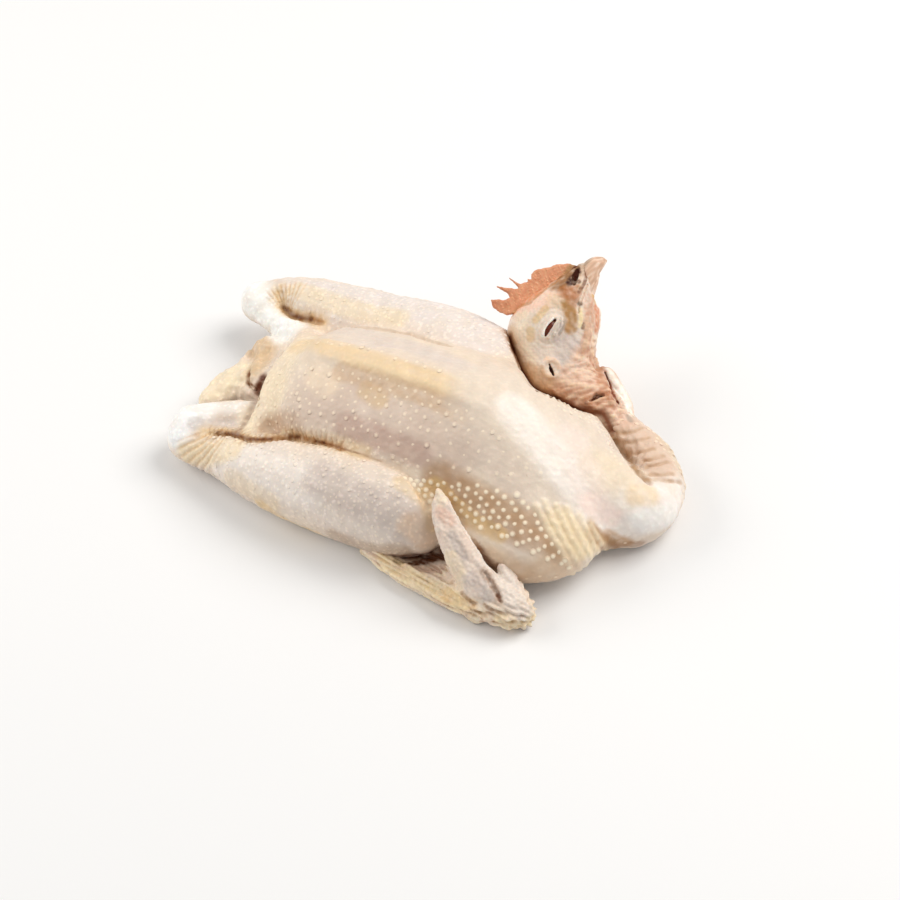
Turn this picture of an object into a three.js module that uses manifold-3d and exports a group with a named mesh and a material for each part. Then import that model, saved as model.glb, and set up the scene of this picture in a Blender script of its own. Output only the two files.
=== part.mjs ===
// Whole raw cockerel, plucked and dressed with its head on, lying on its back. It is one solid.
// +X runs from the tail to the crop, and +Z is up. The bird lies on z = 0.
// The near side is -Y, where the shown wing is. The neck and the head lie along the far side.
//
// The fleshy forms are fields: functions of (x, y, z) in millimetres, negative inside. They are blended
// into one skin, which is meshed coarsely over the body and finely where the forms are small.

import * as THREE from "three";
import { mergeVertices } from "three/addons/utils/BufferGeometryUtils.js";
import Module from "manifold-3d";

const wasm = await Module();
wasm.setup();

// Driving dimensions, in millimetres.
const KEEL_HEIGHT = 72; // top of the breastbone
const KEEL_FRONT = 50; // where the breastbone ends and the front slope begins
const FRONT_SLOPE = THREE.MathUtils.degToRad(33); // fall of the skin from the breastbone to the neck
const BODY_HALF_WIDTH = 45; // ribs, without the legs
const THIGH_RADIUS = 25;
const HOCK_RADIUS = 11.5;
const SHANK_RADIUS = 8.5;
const FOREARM_RADIUS = 9;
const NECK_RADIUS = 12;
const SKULL_RADIUS = 13;
const COMB_THICKNESS = 3.2;
const COMB_BEVEL = 0.8;

const BODY_CELL = 7.1; // mesh cell over the body
const FINE_CELL = 3.2; // mesh cell over the head and the near hand
const SEAM_OVERLAP = 0.05; // the finely meshed pieces reach this far into the body

// Field kit

const clamp01 = (t) => Math.min(1, Math.max(0, t));

// A cone with round ends, from ball [x, y, z, radius] to ball [x, y, z, radius].
function cone([ax, ay, az, ar], [bx, by, bz, br]) {
  const [dx, dy, dz] = [bx - ax, by - ay, bz - az];
  const length2 = dx * dx + dy * dy + dz * dz;
  return (x, y, z) => {
    const t = clamp01(((x - ax) * dx + (y - ay) * dy + (z - az) * dz) / length2);
    return Math.hypot(x - ax - t * dx, y - ay - t * dy, z - az - t * dz) - ar - t * (br - ar);
  };
}

// A limb of smoothly changing thickness through a row of balls.
function limb(balls, steps = 4) {
  const centres = balls.map(([x, y, z]) => new THREE.Vector3(x, y, z));
  const middle = new THREE.CatmullRomCurve3(centres, false, "centripetal");
  const girth = new THREE.SplineCurve(balls.map(([, , , r], i) => new THREE.Vector2(i, r)));
  const count = (balls.length - 1) * steps;
  const stations = Array.from({ length: count + 1 }, (_, i) => {
    const p = middle.getPoint(i / count);
    return [p.x, p.y, p.z, girth.getPoint(i / count).y];
  });
  const cones = stations.slice(1).map((ball, i) => cone(stations[i], ball));
  return (x, y, z) => cones.reduce((least, field) => Math.min(least, field(x, y, z)), Infinity);
}

// An ellipsoid at a point, with its three half sizes, turned by an Euler angle in degrees.
function ellipsoid(at, half, turn = [0, 0, 0]) {
  const euler = new THREE.Euler(...turn.map(THREE.MathUtils.degToRad), "ZYX");
  const e = new THREE.Matrix4().makeRotationFromEuler(euler).elements;
  return (px, py, pz) => {
    const [x, y, z] = [px - at[0], py - at[1], pz - at[2]];
    const a = (e[0] * x + e[1] * y + e[2] * z) / half[0];
    const b = (e[4] * x + e[5] * y + e[6] * z) / half[1];
    const c = (e[8] * x + e[9] * y + e[10] * z) / half[2];
    const near = Math.hypot(a, b, c);
    const slope = Math.hypot(a / half[0], b / half[1], c / half[2]);
    return slope < 1e-9 ? -Math.min(...half) : (near * (near - 1)) / slope;
  };
}

// Flesh that runs together over a width k.
function join(k, ...fields) {
  return (x, y, z) =>
    fields.reduce((sum, field) => {
      const d = field(x, y, z);
      const h = Math.max(k - Math.abs(sum - d), 0) / k;
      return Math.min(sum, d) - (h * h * k) / 4;
    }, 1e3);
}

// A hollow pressed into flesh, with its rim rounded over a width k.
function press(k, field, hollow) {
  return (x, y, z) => {
    const [a, b] = [field(x, y, z), -hollow(x, y, z)];
    const h = Math.max(k - Math.abs(a - b), 0) / k;
    return Math.max(a, b) + (h * h * k) / 4;
  };
}

// Torso: ribs, breast muscles with the keel between them, belly, crop and shoulders.
function torso() {
  const ribs = ellipsoid([0, 2, 30], [84, BODY_HALF_WIDTH, 34]);
  const breast = (side) => ellipsoid([20, 3 + side * 13, 40], [66, 33, 24], [side * -40, 0, 0]);
  const keel = limb([
    [-62, 1, 57, 6],
    [-35, 1, KEEL_HEIGHT - 9, 6],
    [0, 1, KEEL_HEIGHT - 6, 6],
    [30, 1, KEEL_HEIGHT - 7, 7],
    [55, 2, KEEL_HEIGHT - 24, 14],
  ]);
  const belly = ellipsoid([-50, 2, 31], [38, 42, 26]);
  const front = limb([
    [40, 2, 42, 24],
    [70, 3, 32, 26],
    [96, 7, 22, 19],
  ]);
  const nearShoulder = ellipsoid([56, -24, 19], [46, 34, 25], [0, 0, 3]);
  const farShoulder = ellipsoid([52, 26, 22], [40, 30, 24], [0, 0, -14]);
  const flap = limb([
    [-84, -38, 22, 5],
    [-86, -20, 30, 5],
    [-87, 0, 34, 5],
    [-90, 18, 34, 5],
    [-94, 32, 28, 5],
  ]);
  const flesh = join(14, ribs, breast(-1), breast(1), keel, belly, front, nearShoulder, farShoulder, flap);
  const [slopeX, slopeZ] = [Math.sin(FRONT_SLOPE), Math.cos(FRONT_SLOPE)];
  const aheadOfSlope = (x, y, z) => (KEEL_FRONT - x) * slopeX + (KEEL_HEIGHT - z) * slopeZ;
  const vent = limb([
    [-96, -22, 19, 4],
    [-98, -4, 25, 6],
    [-100, 14, 26, 5],
  ]);
  return press(5, press(18, flesh, aheadOfSlope), vent);
}

// A leg lies along the body with its knee forward and its hock at the tail.
// Its shank tucks back under the belly skin.
const NEAR_LEG = [
  [-121, -46, 12.5, HOCK_RADIUS],
  [-98, -48, 15, 13],
  [-62, -49, 18, 20],
  [-22, -46, 21, THIGH_RADIUS],
  [4, -45, 22, THIGH_RADIUS],
  [18, -50, 20, 18],
];
const FAR_LEG = [
  [-137, 48, 21, 9.5],
  [-112, 53, 22, 13],
  [-64, 54, 25, 20],
  [-22, 50, 29, THIGH_RADIUS],
  [8, 46, 29, THIGH_RADIUS],
];
const NEAR_SHANK = [
  [-122, -42, 14, SHANK_RADIUS + 1.5],
  [-105, -29, 18, SHANK_RADIUS],
  [-84, -18, 22, SHANK_RADIUS],
];
const FAR_SHANK = [
  [-137, 46, 21, SHANK_RADIUS + 0.5],
  [-121, 37, 22, SHANK_RADIUS],
  [-98, 26, 25, SHANK_RADIUS],
];
// Loose skin that fills the fork between a leg and its shank.
const NEAR_WEB = [
  [-110, -38, 10, 7],
  [-84, -34, 14, 14],
];
const FAR_WEB = [
  [-124, 43, 15, 6],
  [-90, 37, 18, 14],
];

const TAIL = [
  [-90, 2, 17, 17],
  [-108, 1, 12, 15],
  [-123, -4, 9, 12],
  [-131, -9, 7, 8],
];
const VENT_LIP = [
  [-100, 18, 14, 12],
  [-114, 17, 12, 10],
];

// Wings: the upper arm lies under the leg, the forearm along the board and the hand folds back.
// The near hand leans on the thigh. The far wing lies low, under the neck and the head.
const NEAR_WING = {
  forearm: [
    [-4, -60, 13, 10],
    [15, -65, 10, FOREARM_RADIUS + 0.5],
    [39, -69, 9, FOREARM_RADIUS],
    [61, -70, 9, FOREARM_RADIUS],
    [80, -67, 9.5, 8.5],
  ],
  hand: [
    [82, -64, 12, 8],
    [61, -61, 20, 9],
    [45, -54, 31, 9],
    [31, -46, 44, 5],
  ],
  thumb: [
    [84, -62, 12, 6],
    [78, -58, 17, 5],
    [70, -54, 23, 3.5],
  ],
};
const FAR_WING = {
  forearm: [
    [-2, 57, 13, 10],
    [15, 60, 10, FOREARM_RADIUS + 0.5],
    [40, 62, 9, FOREARM_RADIUS],
    [66, 59, 9.5, 8.5],
  ],
  hand: [
    [67, 61, 12, 8],
    [52, 67, 15, 8],
    [38, 71, 16, 7.5],
    [24, 72, 16, 4],
  ],
  thumb: [
    [69, 62, 13, 5.5],
    [64, 67, 17, 4.5],
    [57, 71, 20, 3],
  ],
};

// Neck: out of the crop, round the front of the body and back along the far shoulder to the head.
const NECK = [
  [94, 8, 22, 19],
  [110.5, 12, 16, 16],
  [111, 28, 14, NECK_RADIUS + 1.5],
  [98, 42, 13, NECK_RADIUS],
  [80.5, 50.5, 14, NECK_RADIUS - 0.5],
  [66, 57.5, 20, NECK_RADIUS - 0.5],
  [52, 60, 28, NECK_RADIUS + 1],
  [41, 61, 35, NECK_RADIUS + 1],
];

// The head has its own axes: u towards the beak, v towards the comb, w out of the cheek that faces up.
const HEAD_AT = new THREE.Vector3(26, 72.2, 44.3);
const HEAD_U = new THREE.Vector3(0.252, 0.83, 0.498).normalize();
const HEAD_W = new THREE.Vector3(0.383, -0.558, 0.737).projectOnPlane(HEAD_U).normalize();
const HEAD_V = new THREE.Vector3().crossVectors(HEAD_W, HEAD_U);
const HEAD_FRAME = new THREE.Matrix4().makeBasis(HEAD_U, HEAD_V, HEAD_W).setPosition(HEAD_AT);

// Balls [u, v, w, radius] of the head.
const CRANIUM = [
  [-14, -2, 0, SKULL_RADIUS],
  [-2, 3, 0, SKULL_RADIUS + 2],
  [16, 1, 0, SKULL_RADIUS - 1],
  [30, 1, 0, 7.5],
];
const CHEEK = [
  [-18, -12, 0, SKULL_RADIUS - 1],
  [0, -12, 0, SKULL_RADIUS],
  [16, -10, 0, 9],
];
const WATTLE = [
  [24, -12, -2, 3.5],
  [9, -17.5, -2, 4.5],
  [-3, -25, -3, 7],
];
const BEAK = [
  [28, 2, 0, 7],
  [38, 2, 0, 5],
  [45, 0.5, 0, 3.2],
  [49, -1, 0, 1.6],
];

function head() {
  const onHead = ([u, v, w, r]) => [...new THREE.Vector3(u, v, w).applyMatrix4(HEAD_FRAME), r];
  return join(6, ...[CRANIUM, CHEEK, WATTLE, BEAK].map((balls) => limb(balls.map(onHead))));
}

const wing = ({ forearm, hand, thumb }) => join(4, limb(forearm), limb(hand), limb(thumb));
const trunk = join(6, torso(), limb(TAIL), limb(VENT_LIP), limb(NECK));
const legLimbs = [NEAR_LEG, FAR_LEG, NEAR_SHANK, FAR_SHANK, NEAR_WEB, FAR_WEB];
const legs = join(5, ...legLimbs.map((balls) => limb(balls)));
const bird = join(3, trunk, legs, wing(NEAR_WING), wing(FAR_WING), head());

// Meshing

// One vertex for each patch of skin in a grid cell, and one quad for each grid edge that the skin crosses.
function meshOf(field, low, high, cell) {
  const size = low.map((l, a) => Math.ceil((high[a] - l) / cell) + 1);
  const step = [1, size[0], size[0] * size[1]];
  const values = new Float64Array(size[0] * size[1] * size[2]);
  const placeOf = (n) => [n % size[0], Math.floor(n / size[0]) % size[1], Math.floor(n / step[2])];
  for (let n = 0; n < values.length; n++) {
    const [i, j, k] = placeOf(n);
    values[n] = field(low[0] + i * cell, low[1] + j * cell, low[2] + k * cell);
  }
  const crossed = (n, axis) => values[n] < 0 !== values[n + step[axis]] < 0;
  const edgeKey = (n, axis) => n * 3 + axis;
  const patchVertex = new Map(); // from the cell and the edge to the vertex
  const vertices = [];

  // The crossed edges of one face of a cell, paired so that each inside corner is cut off on its own.
  function facePairs(n, a, b) {
    const corners = [n, n + step[a], n + step[a] + step[b], n + step[b]];
    const edges = [edgeKey(n, a), edgeKey(n + step[a], b), edgeKey(n + step[b], a), edgeKey(n, b)];
    const inside = corners.map((c) => values[c] < 0);
    const cut = edges.filter((_, e) => inside[e] !== inside[(e + 1) % 4]);
    if (cut.length < 4) return cut.length ? [cut] : [];
    const [e, f, g, h] = edges;
    return inside[0] ? [[h, e], [f, g]] : [[e, f], [g, h]];
  }

  function pointOn(key) {
    const [n, axis] = [Math.floor(key / 3), key % 3];
    const p = placeOf(n).map((i, a) => low[a] + i * cell);
    p[axis] += (cell * values[n]) / (values[n] - values[n + step[axis]]);
    return p;
  }

  for (let k = 0; k < size[2] - 1; k++)
    for (let j = 0; j < size[1] - 1; j++)
      for (let i = 0; i < size[0] - 1; i++) {
        const n = i + j * step[1] + k * step[2];
        const group = new Map();
        const rootOf = (e) => (group.get(e) === e ? e : rootOf(group.get(e)));
        for (let axis = 0; axis < 3; axis++)
          for (const at of [n, n + step[axis]])
            for (const pair of facePairs(at, (axis + 1) % 3, (axis + 2) % 3)) {
              for (const e of pair) if (!group.has(e)) group.set(e, e);
              group.set(rootOf(pair[0]), rootOf(pair[1]));
            }
        const patches = new Map();
        for (const e of group.keys()) {
          const root = rootOf(e);
          patches.set(root, [...(patches.get(root) ?? []), e]);
        }
        for (const edges of patches.values()) {
          const points = edges.map(pointOn);
          vertices.push([0, 1, 2].map((a) => points.reduce((sum, p) => sum + p[a], 0) / points.length));
          for (const e of edges) patchVertex.set(n + " " + e, vertices.length - 1);
        }
      }

  const triangles = [];
  const distance = (a, b) => Math.hypot(...vertices[a].map((v, i) => v - vertices[b][i]));
  for (let n = 0; n < values.length; n++)
    for (let axis = 0; axis < 3; axis++) {
      if (placeOf(n)[axis] === size[axis] - 1 || !crossed(n, axis)) continue;
      const [b, c] = [step[(axis + 1) % 3], step[(axis + 2) % 3]];
      const ring = [n - b - c, n - c, n, n - b].map((at) => patchVertex.get(at + " " + edgeKey(n, axis)));
      if (values[n] > 0) ring.reverse();
      const [p, q, r, s] = ring;
      triangles.push(...(distance(p, r) < distance(q, s) ? [p, q, r, p, r, s] : [q, r, s, q, s, p]));
    }
  vertices.forEach((v) => settle(v, field));
  return { vertices, triangles };
}

// Moves a point onto the skin, along the field's slope.
function settle(point, field, rounds = 4) {
  const h = 0.05;
  for (let round = 0; round < rounds; round++) {
    const d = field(...point);
    const slope = [0, 1, 2].map((a) => {
      const ahead = [...point];
      ahead[a] += h;
      return (field(...ahead) - d) / h;
    });
    const steep2 = slope.reduce((sum, s) => sum + s * s, 0);
    slope.forEach((s, a) => (point[a] -= (d * s) / Math.max(steep2, 0.25)));
  }
}

function solidOf(positions, triangles) {
  const [vertProperties, triVerts] = [Float32Array.from(positions), Uint32Array.from(triangles)];
  return new wasm.Manifold(new wasm.Mesh({ numProp: 3, vertProperties, triVerts }));
}

// The part of the bird inside a box, as a solid.
function skinSolid(low, high, cell) {
  const clipped = (x, y, z) =>
    Math.max(bird(x, y, z), low[0] - x, x - high[0], low[1] - y, y - high[1], low[2] - z, z - high[2]);
  const grown = 1.5 * cell;
  const grid = [low.map((v) => v - grown), high.map((v) => v + grown)];
  const { vertices, triangles } = meshOf(clipped, ...grid, cell);
  return solidOf(vertices.flat(), triangles);
}

function solidOfGeometry(geometry) {
  const bare = geometry.clone().deleteAttribute("normal").deleteAttribute("uv");
  const merged = mergeVertices(bare, 1e-3);
  return solidOf(merged.attributes.position.array, merged.index.array);
}

function boxSolid(low, high) {
  const size = high.map((h, a) => h - low[a]);
  const box = new THREE.BoxGeometry(...size).translate(...low.map((l, a) => l + size[a] / 2));
  return solidOfGeometry(box);
}

// The blade of the comb, with its points, in the head's own axes.
const COMB_FRONT = [[40, 8], [38, 12], [33, 18.5], [24.5, 25]];
const COMB_POINTS = [[18, 26], [14, 27], [12.2, 33.2], [10.6, 28], [4.8, 35.3], [3.5, 29], [-2.9, 35.8]];
const COMB_REAR = [[-6.2, 28.8], [-1, 24], [-1, 12], [34, 0]];

function combSolid() {
  const outline = new THREE.Shape();
  outline.moveTo(...COMB_FRONT[0]);
  outline.splineThru(COMB_FRONT.slice(1).map(([u, v]) => new THREE.Vector2(u, v)));
  [...COMB_POINTS, ...COMB_REAR].forEach(([u, v]) => outline.lineTo(u, v));
  const blade = new THREE.ExtrudeGeometry(outline, {
    depth: COMB_THICKNESS - 2 * COMB_BEVEL,
    bevelThickness: COMB_BEVEL,
    bevelSize: COMB_BEVEL,
    bevelOffset: -COMB_BEVEL,
    bevelSegments: 1,
    curveSegments: 6,
  });
  return solidOfGeometry(blade.translate(0, 0, COMB_BEVEL - COMB_THICKNESS / 2).applyMatrix4(HEAD_FRAME));
}

// Corners of the grid round the whole bird, and of the boxes that are meshed finely.
const [BIRD_LOW, BIRD_HIGH] = [[-168, -100, -14], [152, 96, 92]];
const FINE_BOXES = [
  [[-8, 44, 6], [70, 132, 84]], // head
  [[20, -84, -6], [100, -40, 56]], // near hand
];
const BELOW_BASE = boxSolid([-300, -300, -50], [300, 300, 0]);

let solid = skinSolid(BIRD_LOW, BIRD_HIGH, BODY_CELL);
for (const [low, high] of FINE_BOXES) {
  const margin = 3 * FINE_CELL;
  const fine = skinSolid(low.map((v) => v - margin), high.map((v) => v + margin), FINE_CELL);
  const grown = boxSolid(low.map((v) => v - SEAM_OVERLAP), high.map((v) => v + SEAM_OVERLAP));
  solid = solid.subtract(boxSolid(low, high)).add(fine.intersect(grown));
}
solid = solid.add(combSolid()).subtract(BELOW_BASE);

// The outer shell alone, without any pocket that the flesh seals off.
solid = solid.decompose().reduce((largest, shell) => (shell.volume() > largest.volume() ? shell : largest));

// The origin is the middle of the bottom of the bird's box.
const { min, max } = solid.boundingBox();
solid = solid.translate([-(min[0] + max[0]) / 2, -(min[1] + max[1]) / 2, -min[2]]);

const { vertProperties, triVerts } = solid.getMesh();
const geometry = new THREE.BufferGeometry()
  .setAttribute("position", new THREE.BufferAttribute(vertProperties, 3))
  .setIndex(new THREE.BufferAttribute(triVerts, 1));
geometry.computeVertexNormals();
const skin = new THREE.MeshStandardMaterial({ color: 0xe9d3b4, roughness: 0.45, metalness: 0 });
const cockerel = new THREE.Mesh(geometry, skin);
cockerel.name = "cockerel";

const group = new THREE.Group();
group.add(cockerel);
export default group;
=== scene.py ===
# Whole raw cockerel, plucked and dressed with its head on, lying on its back.
# Lengths are millimetres in the bird's own frame, as in the part: +X runs from the tail to the crop,
# +Z is up, and the near side is -Y. A mesh is made in metres in the part's frame.
#
# Flesh is a field of distances, negative inside. Each skin is meshed from its field, given its wrinkles
# along its normals, and painted at its vertices. Marks that were read off the photograph are pixel points,
# and the camera's rays carry them to the flesh.

import itertools
import math

import bpy
import numpy as np
from mathutils import Matrix, Vector


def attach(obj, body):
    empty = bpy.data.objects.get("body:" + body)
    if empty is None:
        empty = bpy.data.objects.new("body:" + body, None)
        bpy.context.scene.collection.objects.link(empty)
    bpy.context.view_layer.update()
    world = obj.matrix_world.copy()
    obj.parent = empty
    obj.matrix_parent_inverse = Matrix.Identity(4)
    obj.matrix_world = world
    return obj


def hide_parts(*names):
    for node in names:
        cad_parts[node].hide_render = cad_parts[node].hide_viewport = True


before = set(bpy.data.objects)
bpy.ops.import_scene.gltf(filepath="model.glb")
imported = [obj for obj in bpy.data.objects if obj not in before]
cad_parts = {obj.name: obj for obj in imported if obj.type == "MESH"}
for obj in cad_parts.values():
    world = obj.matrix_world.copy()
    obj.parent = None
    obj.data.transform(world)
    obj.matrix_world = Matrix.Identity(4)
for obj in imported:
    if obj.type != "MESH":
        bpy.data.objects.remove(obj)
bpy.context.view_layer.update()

# Driving dimensions of the part

KEEL_HEIGHT = 72
KEEL_FRONT = 50
FRONT_SLOPE = math.radians(33)
BODY_HALF_WIDTH = 45
THIGH_RADIUS = 25
HOCK_RADIUS = 11.5
SHANK_RADIUS = 8.5
FOREARM_RADIUS = 9
NECK_RADIUS = 12
SKULL_RADIUS = 13
PART_ORIGIN = np.array([-10.023, 17.388, 0.0])  # the middle of the bottom of the bird's box
MM = 0.001

# Camera, as the photograph's

PHOTO = 900
SENSOR = 36.0
LENS = 110.2
CAMERA_AT = np.array([534.1, -767.5, 1034.7])
CAMERA_RIGHT = np.array([0.86471, 0.49689, -0.07332])
CAMERA_UP = np.array([-0.32511, 0.66499, 0.67237])
CAMERA_BACK = np.array([0.38285, -0.55757, 0.73657])

# Field kit


def clamped(values):
    return np.clip(values, 0, 1)


def length_of(rows):
    return np.sqrt((rows**2).sum(1))


class Form:
    """Flesh as a field of distances, with the box that holds it."""

    def __init__(self, low, high, distance):
        self.low = np.array(low, float)
        self.high = np.array(high, float)
        self.distance = distance

    def measured(self, points, share=150000):
        """The distances of many points, taken a share at a time to spare memory."""
        starts = range(0, max(len(points), 1), share)
        return np.concatenate([self.distance(points[i : i + share]) for i in starts])

    def near(self, points, margin):
        """The distances, taken from the box alone where a point is further from it than margin."""
        beyond = np.maximum(np.maximum(self.low - points, points - self.high), 0)
        far = length_of(beyond)
        close = far < margin
        if close.any():
            far[close] = self.distance(points[close])
        return far


def catmull_rom(points, steps):
    """Points on a smooth line through the given ones: centripetal in place, plain in the last column."""
    points = np.array(points, float)
    place = points[:, :3]
    place = np.vstack([2 * place[0] - place[1], place, 2 * place[-1] - place[-2]])
    girth = np.concatenate([points[:1, 3], points[:, 3], points[-1:, 3]])
    made = []
    for i in range(1, len(points)):
        x0, x1, x2, x3 = place[i - 1 : i + 3]
        d0, d1, d2 = (max(np.linalg.norm(b - a), 1e-6) ** 0.5 for a, b in ((x0, x1), (x1, x2), (x2, x3)))
        m1 = ((x1 - x0) / d0 - (x2 - x0) / (d0 + d1) + (x2 - x1) / d1) * d1
        m2 = ((x2 - x1) / d1 - (x3 - x1) / (d1 + d2) + (x3 - x2) / d2) * d1
        r0, r1, r2, r3 = girth[i - 1 : i + 3]
        n1, n2 = (r2 - r0) / 2, (r3 - r1) / 2
        last = steps + 1 if i == len(points) - 1 else steps
        for j in range(last):
            t = j / steps
            h = (2 * t**3 - 3 * t**2 + 1, t**3 - 2 * t**2 + t, 3 * t**2 - 2 * t**3, t**3 - t**2)
            xyz = h[0] * x1 + h[1] * m1 + h[2] * x2 + h[3] * m2
            made.append([*xyz, h[0] * r1 + h[1] * n1 + h[2] * r2 + h[3] * n2])
    return np.array(made)


def limb(balls, steps=4):
    """A limb of smoothly changing thickness through a row of balls (x, y, z, radius)."""
    stations = catmull_rom(balls, steps)
    centres, radii = stations[:, :3], stations[:, 3:]

    def distance(points):
        least = np.full(len(points), np.inf)
        for a, b in zip(stations, stations[1:]):
            axis = b[:3] - a[:3]
            offset = points - a[:3]
            along = clamped(offset @ axis / max(axis @ axis, 1e-9))
            gap = length_of(offset - along[:, None] * axis) - a[3] - along * (b[3] - a[3])
            least = np.minimum(least, gap)
        return least

    return Form((centres - radii).min(0), (centres + radii).max(0), distance)


def ellipsoid(at, half, turn_x=0.0, turn_z=0.0):
    """An ellipsoid at a point, with its three half sizes, turned in degrees."""
    turn = Matrix.Rotation(math.radians(turn_z), 3, "Z") @ Matrix.Rotation(math.radians(turn_x), 3, "X")
    turn = np.array(turn)
    half = np.array(half, float)
    reach = half.max()

    def distance(points):
        local = (points - at) @ turn
        near = length_of(local / half)
        slope = length_of(local / half**2)
        return np.where(slope < 1e-9, -half.min(), near * (near - 1) / np.maximum(slope, 1e-9))

    return Form(np.array(at) - reach, np.array(at) + reach, distance)


def half_space(distance):
    return Form([-1e6] * 3, [1e6] * 3, distance)


def soft_min(a, b, k):
    h = np.maximum(k - np.abs(a - b), 0) / k
    return np.minimum(a, b) - h * h * k / 4


def join(k, *forms):
    """Flesh that runs together over a width k."""

    def distance(points):
        total = forms[0].near(points, k + 2)
        for form in forms[1:]:
            total = soft_min(total, form.near(points, k + 2), k)
        return total

    low = np.min([form.low for form in forms], 0)
    high = np.max([form.high for form in forms], 0)
    return Form(low - k / 4, high + k / 4, distance)


def press(k, form, *hollows):
    """Hollows pressed into flesh, with their rims rounded over a width k."""

    def distance(points):
        total = form.near(points, k + 2)
        for hollow in hollows:
            total = -soft_min(-total, hollow.near(points, k + 2), k)
        return total

    return Form(form.low, form.high, distance)


def standing(form):
    """The flesh above the floor, with the edge where it rests rounded a little."""
    return press(1.5, form, half_space(lambda points: points[:, 2]))


def corners_of(form):
    return np.array([[(form.low, form.high)[(n >> a) & 1][a] for a in range(3)] for n in range(8)])


# Reading the photograph's marks

RAY_START = 1180  # millimetres from the camera, just before the bird


def rays(pixels):
    """Directions from the camera through points of the photograph."""
    pixels = np.array(pixels, float)
    across = (pixels[:, 0] - PHOTO / 2) * SENSOR / PHOTO
    upward = (PHOTO / 2 - pixels[:, 1]) * SENSOR / PHOTO
    way = across[:, None] * CAMERA_RIGHT + upward[:, None] * CAMERA_UP - LENS * CAMERA_BACK
    return way / np.linalg.norm(way, axis=1)[:, None]


def seen(form, pixels):
    """The points of the flesh behind these pixels, or beside them where a ray just misses it."""
    way = rays(pixels)
    points = CAMERA_AT + RAY_START * way
    nearest_yet = points
    least = np.full(len(points), np.inf)
    for _ in range(80):
        gap = form.distance(points)
        closer = gap < least
        nearest_yet = np.where(closer[:, None], points, nearest_yet)
        least = np.minimum(least, gap)
        points = points + way * (0.9 * gap)[:, None]
    return nearest_yet


def slope_of(form, points):
    """Outward directions of the flesh at these points."""
    step = 0.2
    ways = []
    for axis in np.eye(3):
        ways.append(form.distance(points + step * axis) - form.distance(points - step * axis))
    ways = np.stack(ways, 1)
    return ways / np.maximum(np.linalg.norm(ways, axis=1), 1e-9)[:, None]


def pixels_of(points):
    """Where the photograph shows these points."""
    offset = points - CAMERA_AT
    ahead = -(offset @ CAMERA_BACK)
    scale = LENS / ahead * PHOTO / SENSOR
    return np.stack([PHOTO / 2 + offset @ CAMERA_RIGHT * scale, PHOTO / 2 - offset @ CAMERA_UP * scale], 1)


def with_radii(points, radii):
    radii = np.broadcast_to(np.array(radii, float), len(points))
    return np.column_stack([points, radii])


def slit(form, pixels, radii, deep, towards=(0.0, 0.15, -1.0), taper=0.35):
    """A hollow along pixel points of the flesh and down into it by deep, narrower below by the taper."""
    points = seen(form, pixels)
    deep = np.broadcast_to(np.array(deep, float), len(points))
    way = np.array(towards) / np.linalg.norm(towards)
    radii = np.broadcast_to(np.array(radii, float), len(points))
    rows = []
    for share in (0, 0.25, 0.5, 0.75, 1):
        rows.append(limb(with_radii(points + share * deep[:, None] * way, radii * (1 - taper * share)), 2))
    return join(0.5, *rows)


def fold(form, pixels, radii, lift=0.0):
    """A raised fold along pixel points of the flesh."""
    points = seen(form, pixels)
    points = points + np.array(lift)[..., None] * slope_of(form, points)
    return limb(with_radii(points, radii), 3)


def folds(form, rows, first, middle, last, lift):
    """A raised fold along each row of pixel points, with its radii at the ends and between them."""
    return [fold(form, row, [first, *[middle] * (len(row) - 2), last], lift) for row in rows]


# Torso: ribs, breast muscles with the keel between them, belly, crop and shoulders


def torso():
    ribs = ellipsoid((0, 2, 30), (84, BODY_HALF_WIDTH, 34))
    near_breast = ellipsoid((20, -10, 40), (66, 33, 24), turn_x=40)
    far_breast = ellipsoid((20, 16, 40), (66, 33, 24), turn_x=-40)
    keel = limb(
        [
            (-62, 1, 57, 6),
            (-35, 1, KEEL_HEIGHT - 9, 6),
            (0, 1, KEEL_HEIGHT - 6, 6),
            (30, 1, KEEL_HEIGHT - 7, 7),
            (55, 2, KEEL_HEIGHT - 24, 14),
        ]
    )
    belly = ellipsoid((-50, 2, 31), (38, 42, 26))
    front = limb([(40, 2, 42, 24), (70, 3, 32, 26), (96, 7, 22, 19)])
    near_shoulder = ellipsoid((56, -24, 19), (46, 34, 25), turn_z=3)
    far_shoulder = ellipsoid((52, 26, 22), (40, 30, 24), turn_z=-14)
    flap = limb(
        [(-84, -38, 22, 5), (-86, -20, 30, 5), (-87, 0, 34, 5), (-90, 18, 34, 5), (-94, 32, 28, 5)]
    )
    flesh = join(
        14, ribs, near_breast, far_breast, keel, belly, front, near_shoulder, far_shoulder, flap
    )
    across, down = math.sin(FRONT_SLOPE), math.cos(FRONT_SLOPE)
    ahead_of_slope = half_space(
        lambda p: (KEEL_FRONT - p[:, 0]) * across + (KEEL_HEIGHT - p[:, 2]) * down
    )
    vent = limb([(-96, -22, 19, 4), (-98, -4, 25, 6), (-100, 14, 26, 5)])
    return press(5, press(18, flesh, ahead_of_slope), vent)


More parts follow.
